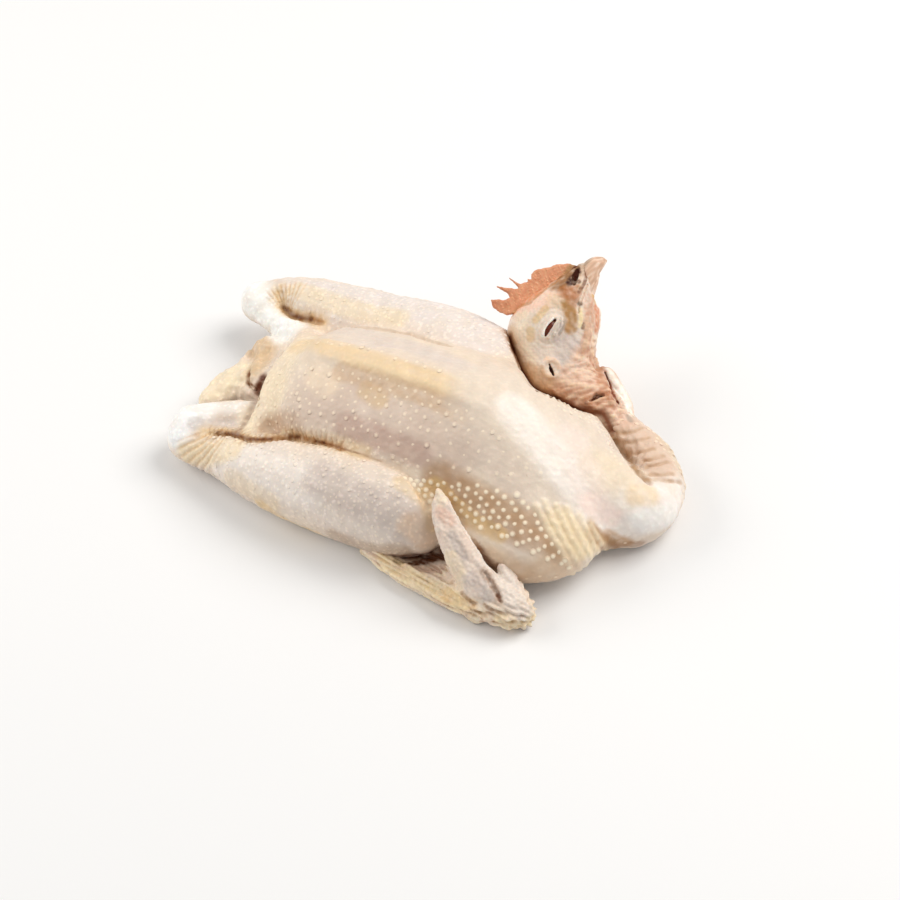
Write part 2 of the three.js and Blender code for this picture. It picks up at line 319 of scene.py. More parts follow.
NEAR_LEG = [
    (-121, -46, 12.5, HOCK_RADIUS),
    (-98, -48, 15, 13),
    (-62, -49, 18, 20),
    (-22, -46, 21, THIGH_RADIUS),
    (4, -45, 22, THIGH_RADIUS),
    (17, -49, 22.5, 16.5),
]
FAR_LEG = [
    (-136, 48, 21.5, 10),
    (-114, 54, 24.5, 13.5),
    (-64, 54, 25, 20),
    (-22, 50, 29, THIGH_RADIUS),
    (8, 46, 29, THIGH_RADIUS),
]
NEAR_SHANK = [
    (-121.5, -40, 17.5, SHANK_RADIUS + 1.8),
    (-108, -30, 18.8, SHANK_RADIUS + 0.6),
    (-84, -20, 20, SHANK_RADIUS),
]
FAR_SHANK = [
    (-135, 46, 21, SHANK_RADIUS + 0.2),
    (-118, 38, 23, SHANK_RADIUS - 0.6),
    (-95, 29, 26, SHANK_RADIUS),
]
NEAR_WEB = [(-110, -38, 10, 7), (-84, -34, 14, 14)]
FAR_WEB = [(-122, 46, 15, 6), (-90, 39, 18, 14)]
TAIL = [(-90, 2, 17, 17), (-106, 1, 12, 14), (-117, -2, 10, 11)]
VENT_LIP = [(-100, 20, 18, 12), (-112, 19.5, 17.5, 10)]
CROP_FOOT = [(88, -12, 10, 8), (98, -5, 9, 7.2), (108, 2, 9, 8)]
TAIL_FAN = [(-119, 6, 9, 8.5), (-124, -4, 9, 9), (-126, -16, 9, 8.5)]
NECK = [
    (94, 8, 22, 19),
    (109, 11.5, 16, 15.6),
    (109, 27, 14, NECK_RADIUS + 1.2),
    (98, 42, 13, NECK_RADIUS),
    (80.5, 50.5, 14, NECK_RADIUS - 0.5),
    (65.5, 56.7, 20, NECK_RADIUS - 2),
    (52.5, 59.5, 27, NECK_RADIUS - 4),
]
GULLET = [  # the white cord that stands out beside the throat
    (55.5, 72.5, 33, 1.6),
    (59.2, 72.2, 32.0, 2.7),
    (66.4, 68.0, 27.7, 3.1),
    (73.5, 64.0, 23.1, 2.9),
    (76.6, 62.0, 21.2, 1.6),
]
GULLET_LINE = np.array(GULLET)[:, :3]

# Head frame: u towards the beak, v towards the comb, w out of the cheek that faces up

HEAD_AT = np.array([25.1, 71.7, 44.4])
HEAD_SCALE = 0.96  # the photograph's head against the part's
HEAD_U = np.array([0.252, 0.83, 0.498])
HEAD_U = HEAD_U / np.linalg.norm(HEAD_U)
HEAD_W = np.array([0.383, -0.558, 0.737])
HEAD_W = HEAD_W - (HEAD_W @ HEAD_U) * HEAD_U
HEAD_W = HEAD_W / np.linalg.norm(HEAD_W)
HEAD_V = np.cross(HEAD_W, HEAD_U)
HEAD_AXES = np.array([HEAD_U, HEAD_V, HEAD_W])

# The head and the neck press a bed into the far side: its middle line in pixels, its floor along w.
BED_LINE = [
    (535, 338), (543, 358), (549, 369), (561, 374.5), (586, 387), (604, 392), (616, 402), (629, 418),
    (640, 438), (650, 452), (658, 461),
]  # fmt: skip
BED_FLOOR = [2, 2, 2, 2, 3, 4, 8, 12, 15, 17, 18]
BED_HALF_WIDTH = 12.6
PIXEL = 0.506  # millimetres in a pixel at the head

# Creases, folds and openings, as pixel points of the photograph

NEAR_CREASE = [
    (206, 433), (218, 433), (228, 433.5), (237, 435.5), (247, 439), (258, 439.5), (272, 438.5),
    (290, 437), (299, 437.5), (306, 439), (315, 441), (326, 443), (344, 449), (364, 455), (382, 462),
    (399, 469), (412, 481), (427, 506),
]  # fmt: skip
NEAR_CREASE_RADII = [
    0.5, 1.1, 1.5, 1.3, 0.9, 0.9, 1.0, 1.5, 1.5, 0.9, 1.0, 1.0, 0.7, 0.8, 1.1, 1.1, 1.2, 1.2
]  # fmt: skip
NEAR_CREASE_DEEP = [0.5, 3.5, 5, 4.5, 3.5, 3.5, 4, 5, 4.5, 4.5, 3.5, 3, 1.5, 0.7, 0.3, 0, 0, 0]
FAR_SLIT = [(279.6, 294), (284.4, 308), (292.4, 314.8), (302, 318), (311.6, 319), (321, 322.8)]
FAR_SLIT_RADII = [0.8, 1.9, 2.3, 2.0, 1.6, 0.7]
FAR_SLIT_DEEP = [0.3, 3, 4.5, 4, 2.5, 0.5]
FAR_CREASE = [
    (352, 327), (372, 328), (386, 330), (397, 332), (410, 334.5), (422, 338), (434, 341.5), (450, 346),
]  # fmt: skip
FAR_CREASE_RADII = [0.5, 0.7, 0.9, 1.1, 1.2, 1.1, 0.9, 0.6]
NECK_CREASE = [
    (603, 420), (610, 432), (619, 447), (624.8, 453), (629, 460), (634, 468), (640, 475), (648, 482),
]  # fmt: skip
NECK_CREASE_RADII = [0.4, 0.9, 1.4, 1.9, 1.9, 1.8, 1.4, 0.6]
NECK_WRINKLES = [
    [(612.5, 431.7), (623, 433.5), (634, 431.7), (642, 428.6)],
    [(617, 441), (626.4, 442.8), (638.7, 441), (648, 438)],
    [(625, 451.8), (634, 453.6), (645, 451.8), (654, 449)],
    [(631, 462), (641.8, 462.6), (652.6, 459.5), (663.5, 456)],
    [(634, 468.8), (646.5, 467.3), (657.3, 465), (670, 462)],
    [(640.3, 475), (651, 474.4), (662, 475), (673, 474)],
    [(645, 480), (657.3, 479), (668, 481.2), (680, 482.7)],
]
CROP_CREASE = [(590, 522), (596, 531), (603, 538), (612, 542)]
VENT_HOLE = [(263.5, 378), (261, 384), (257.5, 390)]
VENT_FOLD = [(250, 371), (248.5, 377), (248, 383), (254, 387)]
TRACT_RIDGES = [  # long low ridges of the breast skin, before the crop
    [(536, 506), (541, 514), (546, 524), (550, 532), (556, 541), (561, 549), (567, 560), (573, 573)],
    [(545, 503), (549, 512), (554, 522), (559, 531), (563, 539), (568, 548), (574, 558), (581, 571)],
    [(556, 506), (561, 515), (566, 526), (570, 535), (575, 544), (580, 553), (587, 566)],
    [(567, 509), (572, 520), (577, 530), (582, 540), (587, 550), (593, 560)],
    [(579, 515), (584, 526), (589, 536), (594, 546), (599, 554)],
    [(590, 524), (595, 533), (601, 543), (606, 549)],
]
KEEL_LINE = [(300, 351), (330, 356), (355, 361), (400, 374), (432, 385), (462, 398), (480, 407)]
FLAP_EDGE = [(281, 352), (270, 375), (263, 392), (257, 408), (249, 424), (240, 436)]
FLAP_SHADE = [(259, 391), (253, 408), (245, 423), (237, 433)]
VENT_RIDGES = [
    [(247, 352), (243, 364), (244, 376)],
    [(265, 348), (261, 356), (255, 368), (253, 378)],
    [(240, 389), (252, 392), (258, 396)],
]


def bed():
    """The hollow that the head and the neck lie in, as deep as its floor and open towards the camera."""
    line = np.array(BED_LINE, float)

    def distance(points):
        spots = pixels_of(points)
        least = np.full(len(points), np.inf)
        floor = np.zeros(len(points))
        for a, b, fa, fb in zip(line, line[1:], BED_FLOOR, BED_FLOOR[1:]):
            along = clamped((spots - a) @ (b - a) / ((b - a) @ (b - a)))
            gap = length_of(spots - a - along[:, None] * (b - a))
            floor = np.where(gap < least, fa + along * (fb - fa), floor)
            least = np.minimum(least, gap)
        depth = (points - HEAD_AT) @ HEAD_W
        return np.maximum(least * PIXEL - BED_HALF_WIDTH, floor - depth)

    return half_space(distance)


def trunk():
    flesh = join(6, torso(), limb(TAIL), limb(TAIL_FAN), limb(VENT_LIP), limb(CROP_FOOT))
    return press(5, join(3, flesh, legs()), bed())


def legs():
    return join(5, *map(limb, [NEAR_LEG, FAR_LEG, NEAR_SHANK, FAR_SHANK, NEAR_WEB, FAR_WEB]))


def body():
    flesh = join(6, trunk(), limb(NECK[:4]))
    flesh = join(2, flesh, limb(NECK[2:]))
    flesh = join(2.5, flesh, *folds(flesh, VENT_RIDGES, 1.2, 2.6, 1.6, -0.9))
    valleys = [
        slit(flesh, NEAR_CREASE, NEAR_CREASE_RADII, NEAR_CREASE_DEEP, taper=0.85),
        slit(flesh, FAR_SLIT, FAR_SLIT_RADII, FAR_SLIT_DEEP, (0.0, -0.1, -1.0), taper=0.85),
        slit(flesh, FAR_CREASE, FAR_CREASE_RADII, 0.3, (0.0, -0.3, -1.0)),
        slit(flesh, NECK_CREASE, NECK_CREASE_RADII, 2.5, (0.1, 0.3, -1.0), taper=0.8),
    ]
    flesh = join(1.5, flesh, fold(flesh, FLAP_EDGE, [1.2, 2.2, 2.2, 2.2, 2.0, 0.8], -1.3))
    wrinkles = folds(flesh, NECK_WRINKLES, 0.2, 0.75, 0.2, 0.25)
    openings = [
        slit(flesh, VENT_HOLE, [1.4, 2.6, 1.8], 8, (0.7, 0.0, -0.7), taper=0.6),
        slit(flesh, VENT_FOLD, [0.5, 1.0, 1.0, 0.6], 3, (0.5, 0.0, -0.8), taper=0.8),
    ]
    flesh = press(3.2, flesh, *valleys)
    return standing(press(1.8, flesh, *openings, *wrinkles))


# Wings. The near hand is a flat paddle: a bony ridge on its front and a soft lobe behind.

NEAR_FOREARM = [
    (-4, -62, 7, 5),
    (15, -67.3, 6.5, 5.5),
    (39, -70.2, 6.5, 6.5),
    (61, -71, 8, 8),
    (78, -68.5, 8.5, 8.5),
]
NEAR_HAND_RIDGE = [
    (81, -66.5, 10, 8),
    (72, -65.5, 16.5, 6),
    (62.8, -64, 21.9, 4.4),
    (51.8, -59.2, 30.2, 3.9),
    (40.9, -53.2, 38.2, 3.2),
    (33.0, -48.3, 44.0, 2.6),
    (29.7, -46.1, 47.0, 1.9),
]
NEAR_HAND_LOBE = [
    (76, -67, 11, 7),
    (64, -68.5, 16, 6.5),
    (53.8, -67.2, 22, 5.6),
    (43.3, -61.4, 31.3, 4.6),
    (34.9, -55, 38.5, 4.0),
    (30.6, -49.9, 42.6, 2.8),
]
NEAR_THUMB = [(82.5, -66.5, 8, 7.5), (78, -61.8, 14, 5.0), (72.4, -58.4, 18.8, 4.2), (69, -56, 22, 3.0)]
NEAR_THUMB_NAIL = [(69.6, -56, 22.2, 2.2), (67.6, -54, 24.6, 0.9)]
NEAR_WING_WEB = [(32, -64, 5, 3), (47, -67.5, 9.5, 4), (60, -70, 14, 6.5)]
NEAR_WING_SHEET = [
    (8, -63.5, 5, 4),
    (20, -63, 5, 4.5),
    (29, -60.5, 6, 4.5),
    (37, -58.5, 8, 5),
    (46, -61, 11, 6),
]
# Flesh behind the pocket under the knee, there to carry the pocket's painted shade.
POCKET_SHADE_FILLER = [(8, -56, 6, 5), (24, -53, 8, 6), (38, -50, 12, 7)]
POCKET = [(396, 561.5), (408, 562.5), (420, 562), (430, 560), (438, 557)]
FAR_FOREARM = [
    (-2, 57, 13, 10),
    (15, 60, 10, FOREARM_RADIUS + 0.5),
    (40, 62, 9, FOREARM_RADIUS),
    (66, 59, 9.5, 8.5),
]
FAR_HAND = [(67, 61, 12, 8), (52, 67, 15, 8), (38, 71, 16, 7.5), (24, 72, 16, 4)]
FAR_THUMB = [(69, 62, 13, 5.5), (64, 67, 17, 4.5), (57, 71, 20, 3)]
THUMB_GAP = [(484, 572), (489, 579), (493, 586), (498, 595), (500, 601)]
WEB_FOLDS = [
    [(392, 564), (410, 572), (430, 583), (450, 596), (470, 610)],
    [(405, 566), (424, 574), (441, 582), (456, 592), (470, 604)],
    [(402, 573), (420, 583), (440, 596), (458, 608)],
    [(446, 582), (460, 592), (474, 606)],
]
WEB_FURROWS = [[(462, 593), (468, 599), (474, 604)], [(485, 605), (489, 608), (492, 610)]]
HAND_HOLE = [(431, 522), (432.5, 527)]


def near_wing():
    hand = join(4, limb(NEAR_HAND_RIDGE), limb(NEAR_HAND_LOBE))
    thumb = join(1, limb(NEAR_THUMB), limb(NEAR_THUMB_NAIL))
    flesh = join(3, limb(NEAR_FOREARM), hand, limb(NEAR_WING_WEB), limb(NEAR_WING_SHEET))
    flesh = join(2, flesh, limb(POCKET_SHADE_FILLER))
    flesh = join(1.5, flesh, thumb)
    flesh = join(1.5, flesh, *folds(flesh, WEB_FOLDS, 0.6, 1.0, 0.6, 0.1))
    hole = slit(flesh, HAND_HOLE, 0.7, 1, (-0.3, 0.5, -0.8))
    gap = slit(flesh, THUMB_GAP, [0.4, 1.0, 1.5, 1.4, 0.8], 1.2, (-0.3, 0.5, -0.8), taper=0.85)
    return standing(press(1, flesh, hole, gap))


def far_wing():
    return standing(join(4, limb(FAR_FOREARM), limb(FAR_HAND), limb(FAR_THUMB)))


# Head

CRANIUM = [
    (-14, -2, 0, SKULL_RADIUS),
    (-2, 3, 0, SKULL_RADIUS + 2),
    (16, 1, 0, SKULL_RADIUS - 1),
    (28, 1.5, 0, 7.5),
]
CROWN = [(-13, 4.5, 0, 8.6), (-4, 11.5, 0, 9), (7, 12, 0, 9), (20, 7, 0, 8)]
CERE = [(18, 4, 0, 9.5), (27, 4.6, 0, 8.2), (33.5, 4.6, 0, 6.8), (38.5, 5.0, 0, 4.4)]
CHEEK = [(-16, -24, 3, 11.5), (-18, -12, 3, SKULL_RADIUS), (0, -12, 0, SKULL_RADIUS), (16, -10, 0, 9)]
WATTLE = [(24, -12, -2, 3.5), (9, -17.5, -2, 4.5), (-3, -25, -3, 7)]
COLLAR = [
    (41, 62, 33.5, 10),
    (51, 59.6, 27.6, 11.6),
    (59.5, 57.7, 23.5, 11.7),
    (66.5, 56.3, 19.6, 11.5),
    (74, 53.2, 16.6, 10.4),
]
EYE_AT = (3.2, 1.6)
EAR_AT = (-13.6, -11.0)
# Slits and folds on the cheek: u, v and radius.
EYE_SLIT = [(-1.6, 1.1, 0.6), (0.9, 1.8, 1.15), (4.5, 2.1, 1.15), (8.2, 2.0, 0.6)]
EAR_SLIT = [(-12.2, -9.2, 0.6), (-14.0, -11.9, 1.0), (-15.6, -14.4, 0.7)]
NOSTRIL = [(29.6, 5.2, 1.0), (33.0, 6.8, 1.7), (36.4, 7.8, 1.0)]
LOWER_FURROW = [(3.5, -2.0, 0.3), (7, -1.6, 0.5), (10.5, 0.2, 0.3)]
GAPE = [(33.5, -0.6, 0.3), (27, -2.2, 0.6), (22, -3.4, 0.9), (18.5, -5.4, 0.5)]
MOUTH = [(46, -2.4), (40, -2.6), (34, -3.8), (28, -5.2), (23.4, -6.4)]
JAW_FOLDS = [  # strips of jaw skin below the mouth, on both cheeks
    [
        (30, -6.0, 4.5, 1.5), (24, -9, 6.0, 1.8), (17, -13.6, 7.0, 2.0), (8, -19, 8.5, 2.2),
        (-3, -24, 8.5, 2.4),
    ],
    [
        (29, -7.4, 1.5, 1.5), (23.5, -12.6, 1.8, 2.0), (15.5, -18, 2.5, 2.2), (6, -23, 3.5, 2.6),
        (-4, -28, 4, 3),
    ],
    [(22, -4.8, 8.0, 1.0), (17.5, -7.4, 8.6, 1.6), (12.5, -9.8, 9.6, 1.1)],
]  # fmt: skip
BROW = [(24, 7.5, 6.6, 1.8), (16, 9.5, 8.4, 2.6), (4, 12, 9.5, 2.8), (-6, 12, 9.5, 2.4)]
THROAT_FOLDS = [  # pixel points
    [(560, 400), (575, 403), (590, 404), (604, 412)],
    [(556, 393), (570, 398), (586, 398)],
    [(548, 388), (562, 391), (580, 392)],
    [(604, 372), (606, 385), (610, 398), (616, 412)],
    [(596, 360), (600, 374), (603, 384)],
    [(576, 366), (586, 362), (592, 366)],
    [(600, 402), (612, 414), (622, 432)],
]
THROAT_CUT = [(591, 400), (597, 396.5), (603, 395)]
CORD_EDGE = [(605, 372), (608.5, 382), (612, 393), (619, 404)]


def both_cheeks(form):
    """A form of one cheek, and the same on the other."""
    low, high = form.low.copy(), form.high.copy()
    low[2] = -high[2]
    return Form(low, high, lambda p: form.distance(np.column_stack([p[:, :2], np.abs(p[:, 2])])))


def sunk(balls, deep):
    """A cut from a row of balls straight into the cheek."""
    rows = [limb([(u, v, w - share * deep, r) for u, v, w, r in balls]) for share in (0, 0.35, 0.7, 1)]
    return join(0.4, *rows)


def on_cheek(form, marks, lift=0.0):
    """Balls on the near cheek of a form on its own axes, from u, v and radius."""
    marks = np.array(marks, float)
    points = np.column_stack([marks[:, :2], np.full(len(marks), 40.0)])
    for _ in range(60):
        points[:, 2] -= 0.9 * form.distance(points)
    return np.column_stack([points[:, :2], points[:, 2] + lift, marks[:, 2]])


def on_bird(form):
    """A form that was made on the head's own axes, in its place on the bird."""
    corners = corners_of(form) @ HEAD_AXES * HEAD_SCALE + HEAD_AT

    def distance(points):
        return form.distance((points - HEAD_AT) @ HEAD_AXES.T / HEAD_SCALE) * HEAD_SCALE

    return Form(corners.min(0), corners.max(0), distance)


def on_own_axes(form):
    """A form of the bird's frame on the head's own axes."""
    corners = (corners_of(form) - HEAD_AT) @ HEAD_AXES.T / HEAD_SCALE

    def distance(points):
        return form.distance(points * HEAD_SCALE @ HEAD_AXES + HEAD_AT) / HEAD_SCALE

    return Form(corners.min(0), corners.max(0), distance)


def bare_head():
    """The head on its own axes, with the collar that runs into the neck."""
    skull = join(6, *map(limb, [CRANIUM, CROWN, CHEEK, WATTLE, CERE]), both_cheeks(limb(BROW)))
    skull = join(3, skull, both_cheeks(ellipsoid((*EYE_AT, 10.3), (9, 7.4, 5.4))))
    skull = join(4, skull, on_own_axes(limb(COLLAR)))
    lids = [
        [(u, v + 1.6, 0.8) for u, v, _ in EYE_SLIT],
        [(u, v - 1.6, 0.7) for u, v, _ in EYE_SLIT],
        [(u + 0.5, v - 4.2, 0.7) for u, v, _ in EYE_SLIT[1:]],
    ]
    turns = np.linspace(0, 2 * math.pi, 13)
    ring = [(EAR_AT[0] + 4.6 * math.cos(a), EAR_AT[1] + 4.4 * math.sin(a) - 0.4, 1.1) for a in turns]
    raised = [limb(on_cheek(skull, row, 0.1)) for row in lids] + [limb(on_cheek(skull, ring, -0.2), 2)]
    flesh = join(1.2, skull, *map(both_cheeks, raised))
    flesh = join(1.6, flesh, *[both_cheeks(limb(row)) for row in JAW_FOLDS])
    openings = ((EYE_SLIT, 3), (EAR_SLIT, 4), (NOSTRIL, 2.5))
    cuts = [sunk(on_cheek(skull, marks), deep) for marks, deep in openings]
    cuts += [sunk(on_cheek(flesh, marks), deep) for marks, deep in ((LOWER_FURROW, 0.6), (GAPE, 1.0))]
    return press(0.8, flesh, *map(both_cheeks, cuts))


def head():
    made = on_bird(head_own)
    made = join(1.6, made, *folds(made, THROAT_FOLDS, 0.8, 1.4, 0.8, -0.3))
    made = press(1, made, slit(made, THROAT_CUT, [0.9, 1.9, 0.8], 5, (-0.3, 0.5, -0.8), taper=0.7))
    made = join(0.8, made, limb(GULLET))
    return press(1, made, slit(made, CORD_EDGE, [0.3, 0.7, 0.8, 0.3], 2, (-0.3, 0.5, -0.8)))


BEAK = [
    (23, -3.6, 0, 4.8),
    (29, -2.2, 0, 5.4),
    (35, 0.2, 0, 5.8),
    (40, 2.1, 0, 5.5),
    (44.5, 2.0, 0, 4.5),
    (48, 0.5, 0, 2.6),
    (49.6, -0.9, 0, 1.0),
]


def beak():
    mouth_u, mouth_v = [np.array(row)[::-1] for row in zip(*MOUTH)]
    jaws = limb(BEAK)

    def gape(points):
        line = np.interp(points[:, 0], mouth_u, mouth_v)
        return np.maximum(np.abs(points[:, 1] - line) - 0.15, -0.4 - jaws.distance(points))

    return on_bird(press(0.5, jaws, Form(jaws.low, jaws.high, gape)))


COMB_OUTLINE = [
    (39.5, 6), (38.6, 10.5), (37.1, 14.1), (34.2, 17.5), (29.1, 21.7), (25.3, 25.3), (22.9, 26.3),
    (20.8, 26.2), (18.9, 24.9), (18.0, 27.0), (16.5, 25.9), (13.6, 28.0), (12.5, 37.4), (10.9, 27.8),
    (9.6, 29.0), (4.4, 38.6), (4.9, 30.4), (4.1, 28.4), (1.2, 30.5), (-2.4, 35.9), (-5.4, 32.2),
    (-5.4, 27.6), (-4.2, 24.0), (0, 19), (4, 14), (20, 6), (34, 3),
]  # fmt: skip


def comb():
    outline = np.array(COMB_OUTLINE, float)
    ahead = np.roll(outline, -1, 0)

    def inside(points):
        """Distance to the outline of the blade, negative inside."""
        least = np.full(len(points), np.inf)
        odd = np.zeros(len(points), bool)
        for a, b in zip(outline, ahead):
            edge = b - a
            offset = points[:, :2] - a
            along = clamped(offset @ edge / (edge @ edge))
            least = np.minimum(least, length_of(offset - along[:, None] * edge))
            spans = (a[1] > points[:, 1]) != (b[1] > points[:, 1])
            reach = a[0] + (points[:, 1] - a[1]) * edge[0] / (edge[1] if edge[1] else 1e-9)
            odd ^= spans & (points[:, 0] < reach)
        return np.where(odd, -least, least)

    def distance(points):
        u, v, w = points.T
        bent = w - 0.05 * np.maximum(v - 20, 0) * np.sin(u / 3.2)
        half = np.interp(v - 0.35 * (20 - u), [4, 10, 16, 24, 32], [6.5, 4.2, 2.8, 1.8, 1.1])
        return -soft_min(-inside(points) - 0.3, half - np.abs(bent), 1.2) * 0.85

    low, high = outline.min(0) - 1, outline.max(0) + 1
    return on_bird(Form([*low, -5], [*high, 5], distance))


def eye():
    """The eyeball behind the nearly closed lids."""
    return on_bird(both_cheeks(ellipsoid((*EYE_AT, 9.4), (6.4, 5.6, 5.4))))


# Meshing

CORNERS = np.array([[i & 1, i >> 1 & 1, i >> 2 & 1] for i in range(8)])


def cells_near(form, low, size, cells, slack):
    centres = low + (cells + 0.5) * size
    return cells[np.abs(form.measured(centres)) < 0.87 * size * slack]


def skin_of(form, cell, levels=4):
    """Vertices and quads of the form's skin: one vertex for each cell, one quad for each crossed edge."""
    low = form.low - 2.5 * cell
    low[2] = max(low[2], -2.5 * cell)
    coarse = cell * 2**levels
    count = np.ceil((form.high + 2.5 * cell - low) / coarse).astype(int)
    cells = np.stack(np.meshgrid(*[np.arange(n) for n in count], indexing="ij"), -1).reshape(-1, 3)
    for level in range(levels, -1, -1):
        cells = cells_near(form, low, cell * 2**level, cells, 1.5 if level else 1.1)
        if level:
            cells = (2 * cells[:, None] + CORNERS[None]).reshape(-1, 3)
    span = count * 2**levels + 2
    step = np.array([1, span[0], span[0] * span[1]])
    ids = cells @ step
    corner_ids = ids[:, None] + CORNERS @ step
    known, where = np.unique(corner_ids, return_inverse=True)
    where = where.reshape(corner_ids.shape)
    grid = np.stack([known % span[0], known // span[0] % span[1], known // step[2]], 1)
    corners = low + grid * cell
    values = form.measured(corners)
    values[values == 0] = 1e-6
    at_corner = values[where]
    crossed = (at_corner < 0).any(1) & (at_corner > 0).any(1)
    ids, at_corner, cells = ids[crossed], at_corner[crossed], cells[crossed]
    order = np.argsort(ids)
    ids, at_corner, cells = ids[order], at_corner[order], cells[order]
    total = np.zeros((len(ids), 3))
    hits = np.zeros(len(ids))
    for a in range(8):
        for axis in range(3):
            b = a | 1 << axis
            if b == a:
                continue
            va, vb = at_corner[:, a], at_corner[:, b]
            cut = (va < 0) != (vb < 0)
            share = np.where(cut, va / np.where(cut, va - vb, 1), 0)
            spot = CORNERS[a] + share[:, None] * (CORNERS[b] - CORNERS[a])
            total += spot * cut[:, None]
            hits += cut
    vertices = low + (cells + total / hits[:, None]) * cell
    quads = []
    for axis in range(3):
        va, vb = at_corner[:, 0], at_corner[:, 1 << axis]
        b, c = step[(axis + 1) % 3], step[(axis + 2) % 3]
        for sign in (1, -1):
            rising = (va < 0) & (vb > 0) if sign > 0 else (va > 0) & (vb < 0)
            here = ids[rising]
            ring = np.stack([here - b - c, here - c, here, here - b], 1)
            found = np.minimum(np.searchsorted(ids, ring), len(ids) - 1)
            whole = (ids[found] == ring).all(1)
            quads.append(found[whole] if sign > 0 else found[whole][:, ::-1])
    quads = np.concatenate(quads)
    for _ in range(2):
        normals = normals_of(vertices, quads)
        vertices = vertices - normals * np.clip(form.measured(vertices), -cell / 2, cell / 2)[:, None]
    return vertices, quads


def normals_of(vertices, faces):
    corner = vertices[faces]
    if faces.shape[1] == 4:
        flat = np.cross(corner[:, 2] - corner[:, 0], corner[:, 3] - corner[:, 1])
    else:
        flat = np.cross(corner[:, 1] - corner[:, 0], corner[:, 2] - corner[:, 0])
    total = np.zeros_like(vertices)
    for column in range(faces.shape[1]):
        for axis in range(3):
            total[:, axis] += np.bincount(faces[:, column], flat[:, axis], len(vertices))
    return total / np.maximum(np.linalg.norm(total, axis=1), 1e-12)[:, None]


def mesh_from(name, vertices, faces):
    """A smooth-shaded mesh object from bird-frame points."""
    placed_at = (vertices - PART_ORIGIN) * MM
    mesh = bpy.data.meshes.new(name)
    mesh.vertices.add(len(placed_at))
    mesh.vertices.foreach_set("co", placed_at.astype(np.float32).ravel())
    mesh.loops.add(faces.size)
    mesh.loops.foreach_set("vertex_index", faces.astype(np.int32).ravel())
    mesh.polygons.add(len(faces))
    mesh.polygons.foreach_set("loop_start", np.arange(0, faces.size, faces.shape[1], dtype=np.int32))
    mesh.update(calc_edges=True)
    mesh.shade_smooth()
    piece = bpy.data.objects.new(name, mesh)
    bpy.context.scene.collection.objects.link(piece)
    return piece


def thinned(piece, most_triangles):
    """The piece with its mesh collapsed to most_triangles, where it has more."""
    count = sum(len(p.vertices) - 2 for p in piece.data.polygons)
    if count > most_triangles:
        collapse = piece.modifiers.new("thin", "DECIMATE")
        collapse.ratio = most_triangles / count
        bake(piece)
    return piece


def bake(piece, smooth=True):
    """Turns the piece's modifiers into its plain mesh."""
    graph = bpy.context.evaluated_depsgraph_get()
    made = bpy.data.meshes.new_from_object(piece.evaluated_get(graph), depsgraph=graph)
    made.name = piece.name
    piece.modifiers.clear()
    piece.data = made
    if smooth:
        piece.data.shade_smooth()
    return piece


def points_of(piece):
    points = np.zeros(len(piece.data.vertices) * 3, np.float32)
    piece.data.vertices.foreach_get("co", points)
    return points.reshape(-1, 3).astype(float) / MM + PART_ORIGIN


def skin_piece(name, form, cell, most_triangles, relief):
    vertices, quads = skin_of(form, cell)
    vertices = vertices + normals_of(vertices, quads) * relief(vertices)[:, None]
    vertices[:, 2] = np.maximum(vertices[:, 2], 0)
    return thinned(mesh_from(name, vertices, quads), most_triangles)


# Wrinkles and bumps of the skin


def wander(points, wavelength, seed, waves=7):
    """A smooth random field from -1 to 1, with its hills a wavelength apart."""
    rng = np.random.default_rng(seed)
    total = np.zeros(len(points))
    for _ in range(waves):
        way = rng.normal(size=3)
        way *= 2 * math.pi / wavelength / np.linalg.norm(way) * rng.uniform(0.7, 1.4)
        total += np.sin(points @ way + rng.uniform(0, 2 * math.pi))
    return total / math.sqrt(waves) * 0.8


def streaks(points, way, wavelength, stretch, seed):
    """A smooth random field whose hills are drawn out along a way."""
    way = np.array(way, float) / np.linalg.norm(way)
    along = points @ way
    return wander(points - (1 - 1 / stretch) * along[:, None] * way, wavelength, seed)


def window(x, low, high, soft):
    """1 between low and high, with soft shoulders."""
    rise = clamped((x - low) / soft + 0.5)
    fall = clamped((high - x) / soft + 0.5)
    return rise * rise * (3 - 2 * rise) * fall * fall * (3 - 2 * fall)


def nearest(path, points):
    """Distance to a line through points, and the length along it."""
    least = np.full(len(points), np.inf)
    at = np.zeros(len(points))
    start = 0.0
    for a, b in zip(path, path[1:]):
        edge = b - a
        length = max(np.linalg.norm(edge), 1e-9)
        offset = points - a
        along = clamped(offset @ edge / length**2)
        gap = length_of(offset - along[:, None] * edge)
        at = np.where(gap < least, start + along * length, at)
        least = np.minimum(least, gap)
        start += length
    return least, at


def pleats(points, path, spacing, reach, seed):
    """Short wrinkles across a crease, fading within reach of it."""
    gap, at = nearest(path, points)
    wave = np.cos(2 * math.pi * at / spacing + 1.8 * wander(points, 3 * spacing, seed))
    return wave * np.exp(-((gap / reach) ** 2))


def fan(points, centre, count, inner, outer, first, last, seed):
    """Wrinkles that spread from a point, between two angles of the photograph."""
    offset = points - centre
    right, up = offset @ CAMERA_RIGHT, offset @ CAMERA_UP
    angle = np.degrees(np.arctan2(up, right)) % 360
    reach = length_of(offset)
    wave = np.cos(np.radians(angle) * count + 0.9 * wander(points, 16, seed))
    return wave * window(reach, inner, outer, 0.4 * (outer - inner)) * window(angle, first, last, 16)


NEAR_HOCK_FORK = (240, 420)
FAR_HOCK_FORK = (287, 318)
NECK_RINGS = np.array([(96, 42, 13), (104, 37, 14), (108, 30, 14.5), (109, 22, 15), (108, 13, 16)], float)
THROAT_WAY = [(560, 400), (590, 404), (606, 418), (620, 440), (634, 458)]
SHOULDER_EDGE = [
    (536, 391), (545, 395), (553, 399), (566, 405), (580, 412), (592, 416), (600, 424), (609, 440),
    (617, 453), (626, 466), (634, 477),
]  # fmt: skip


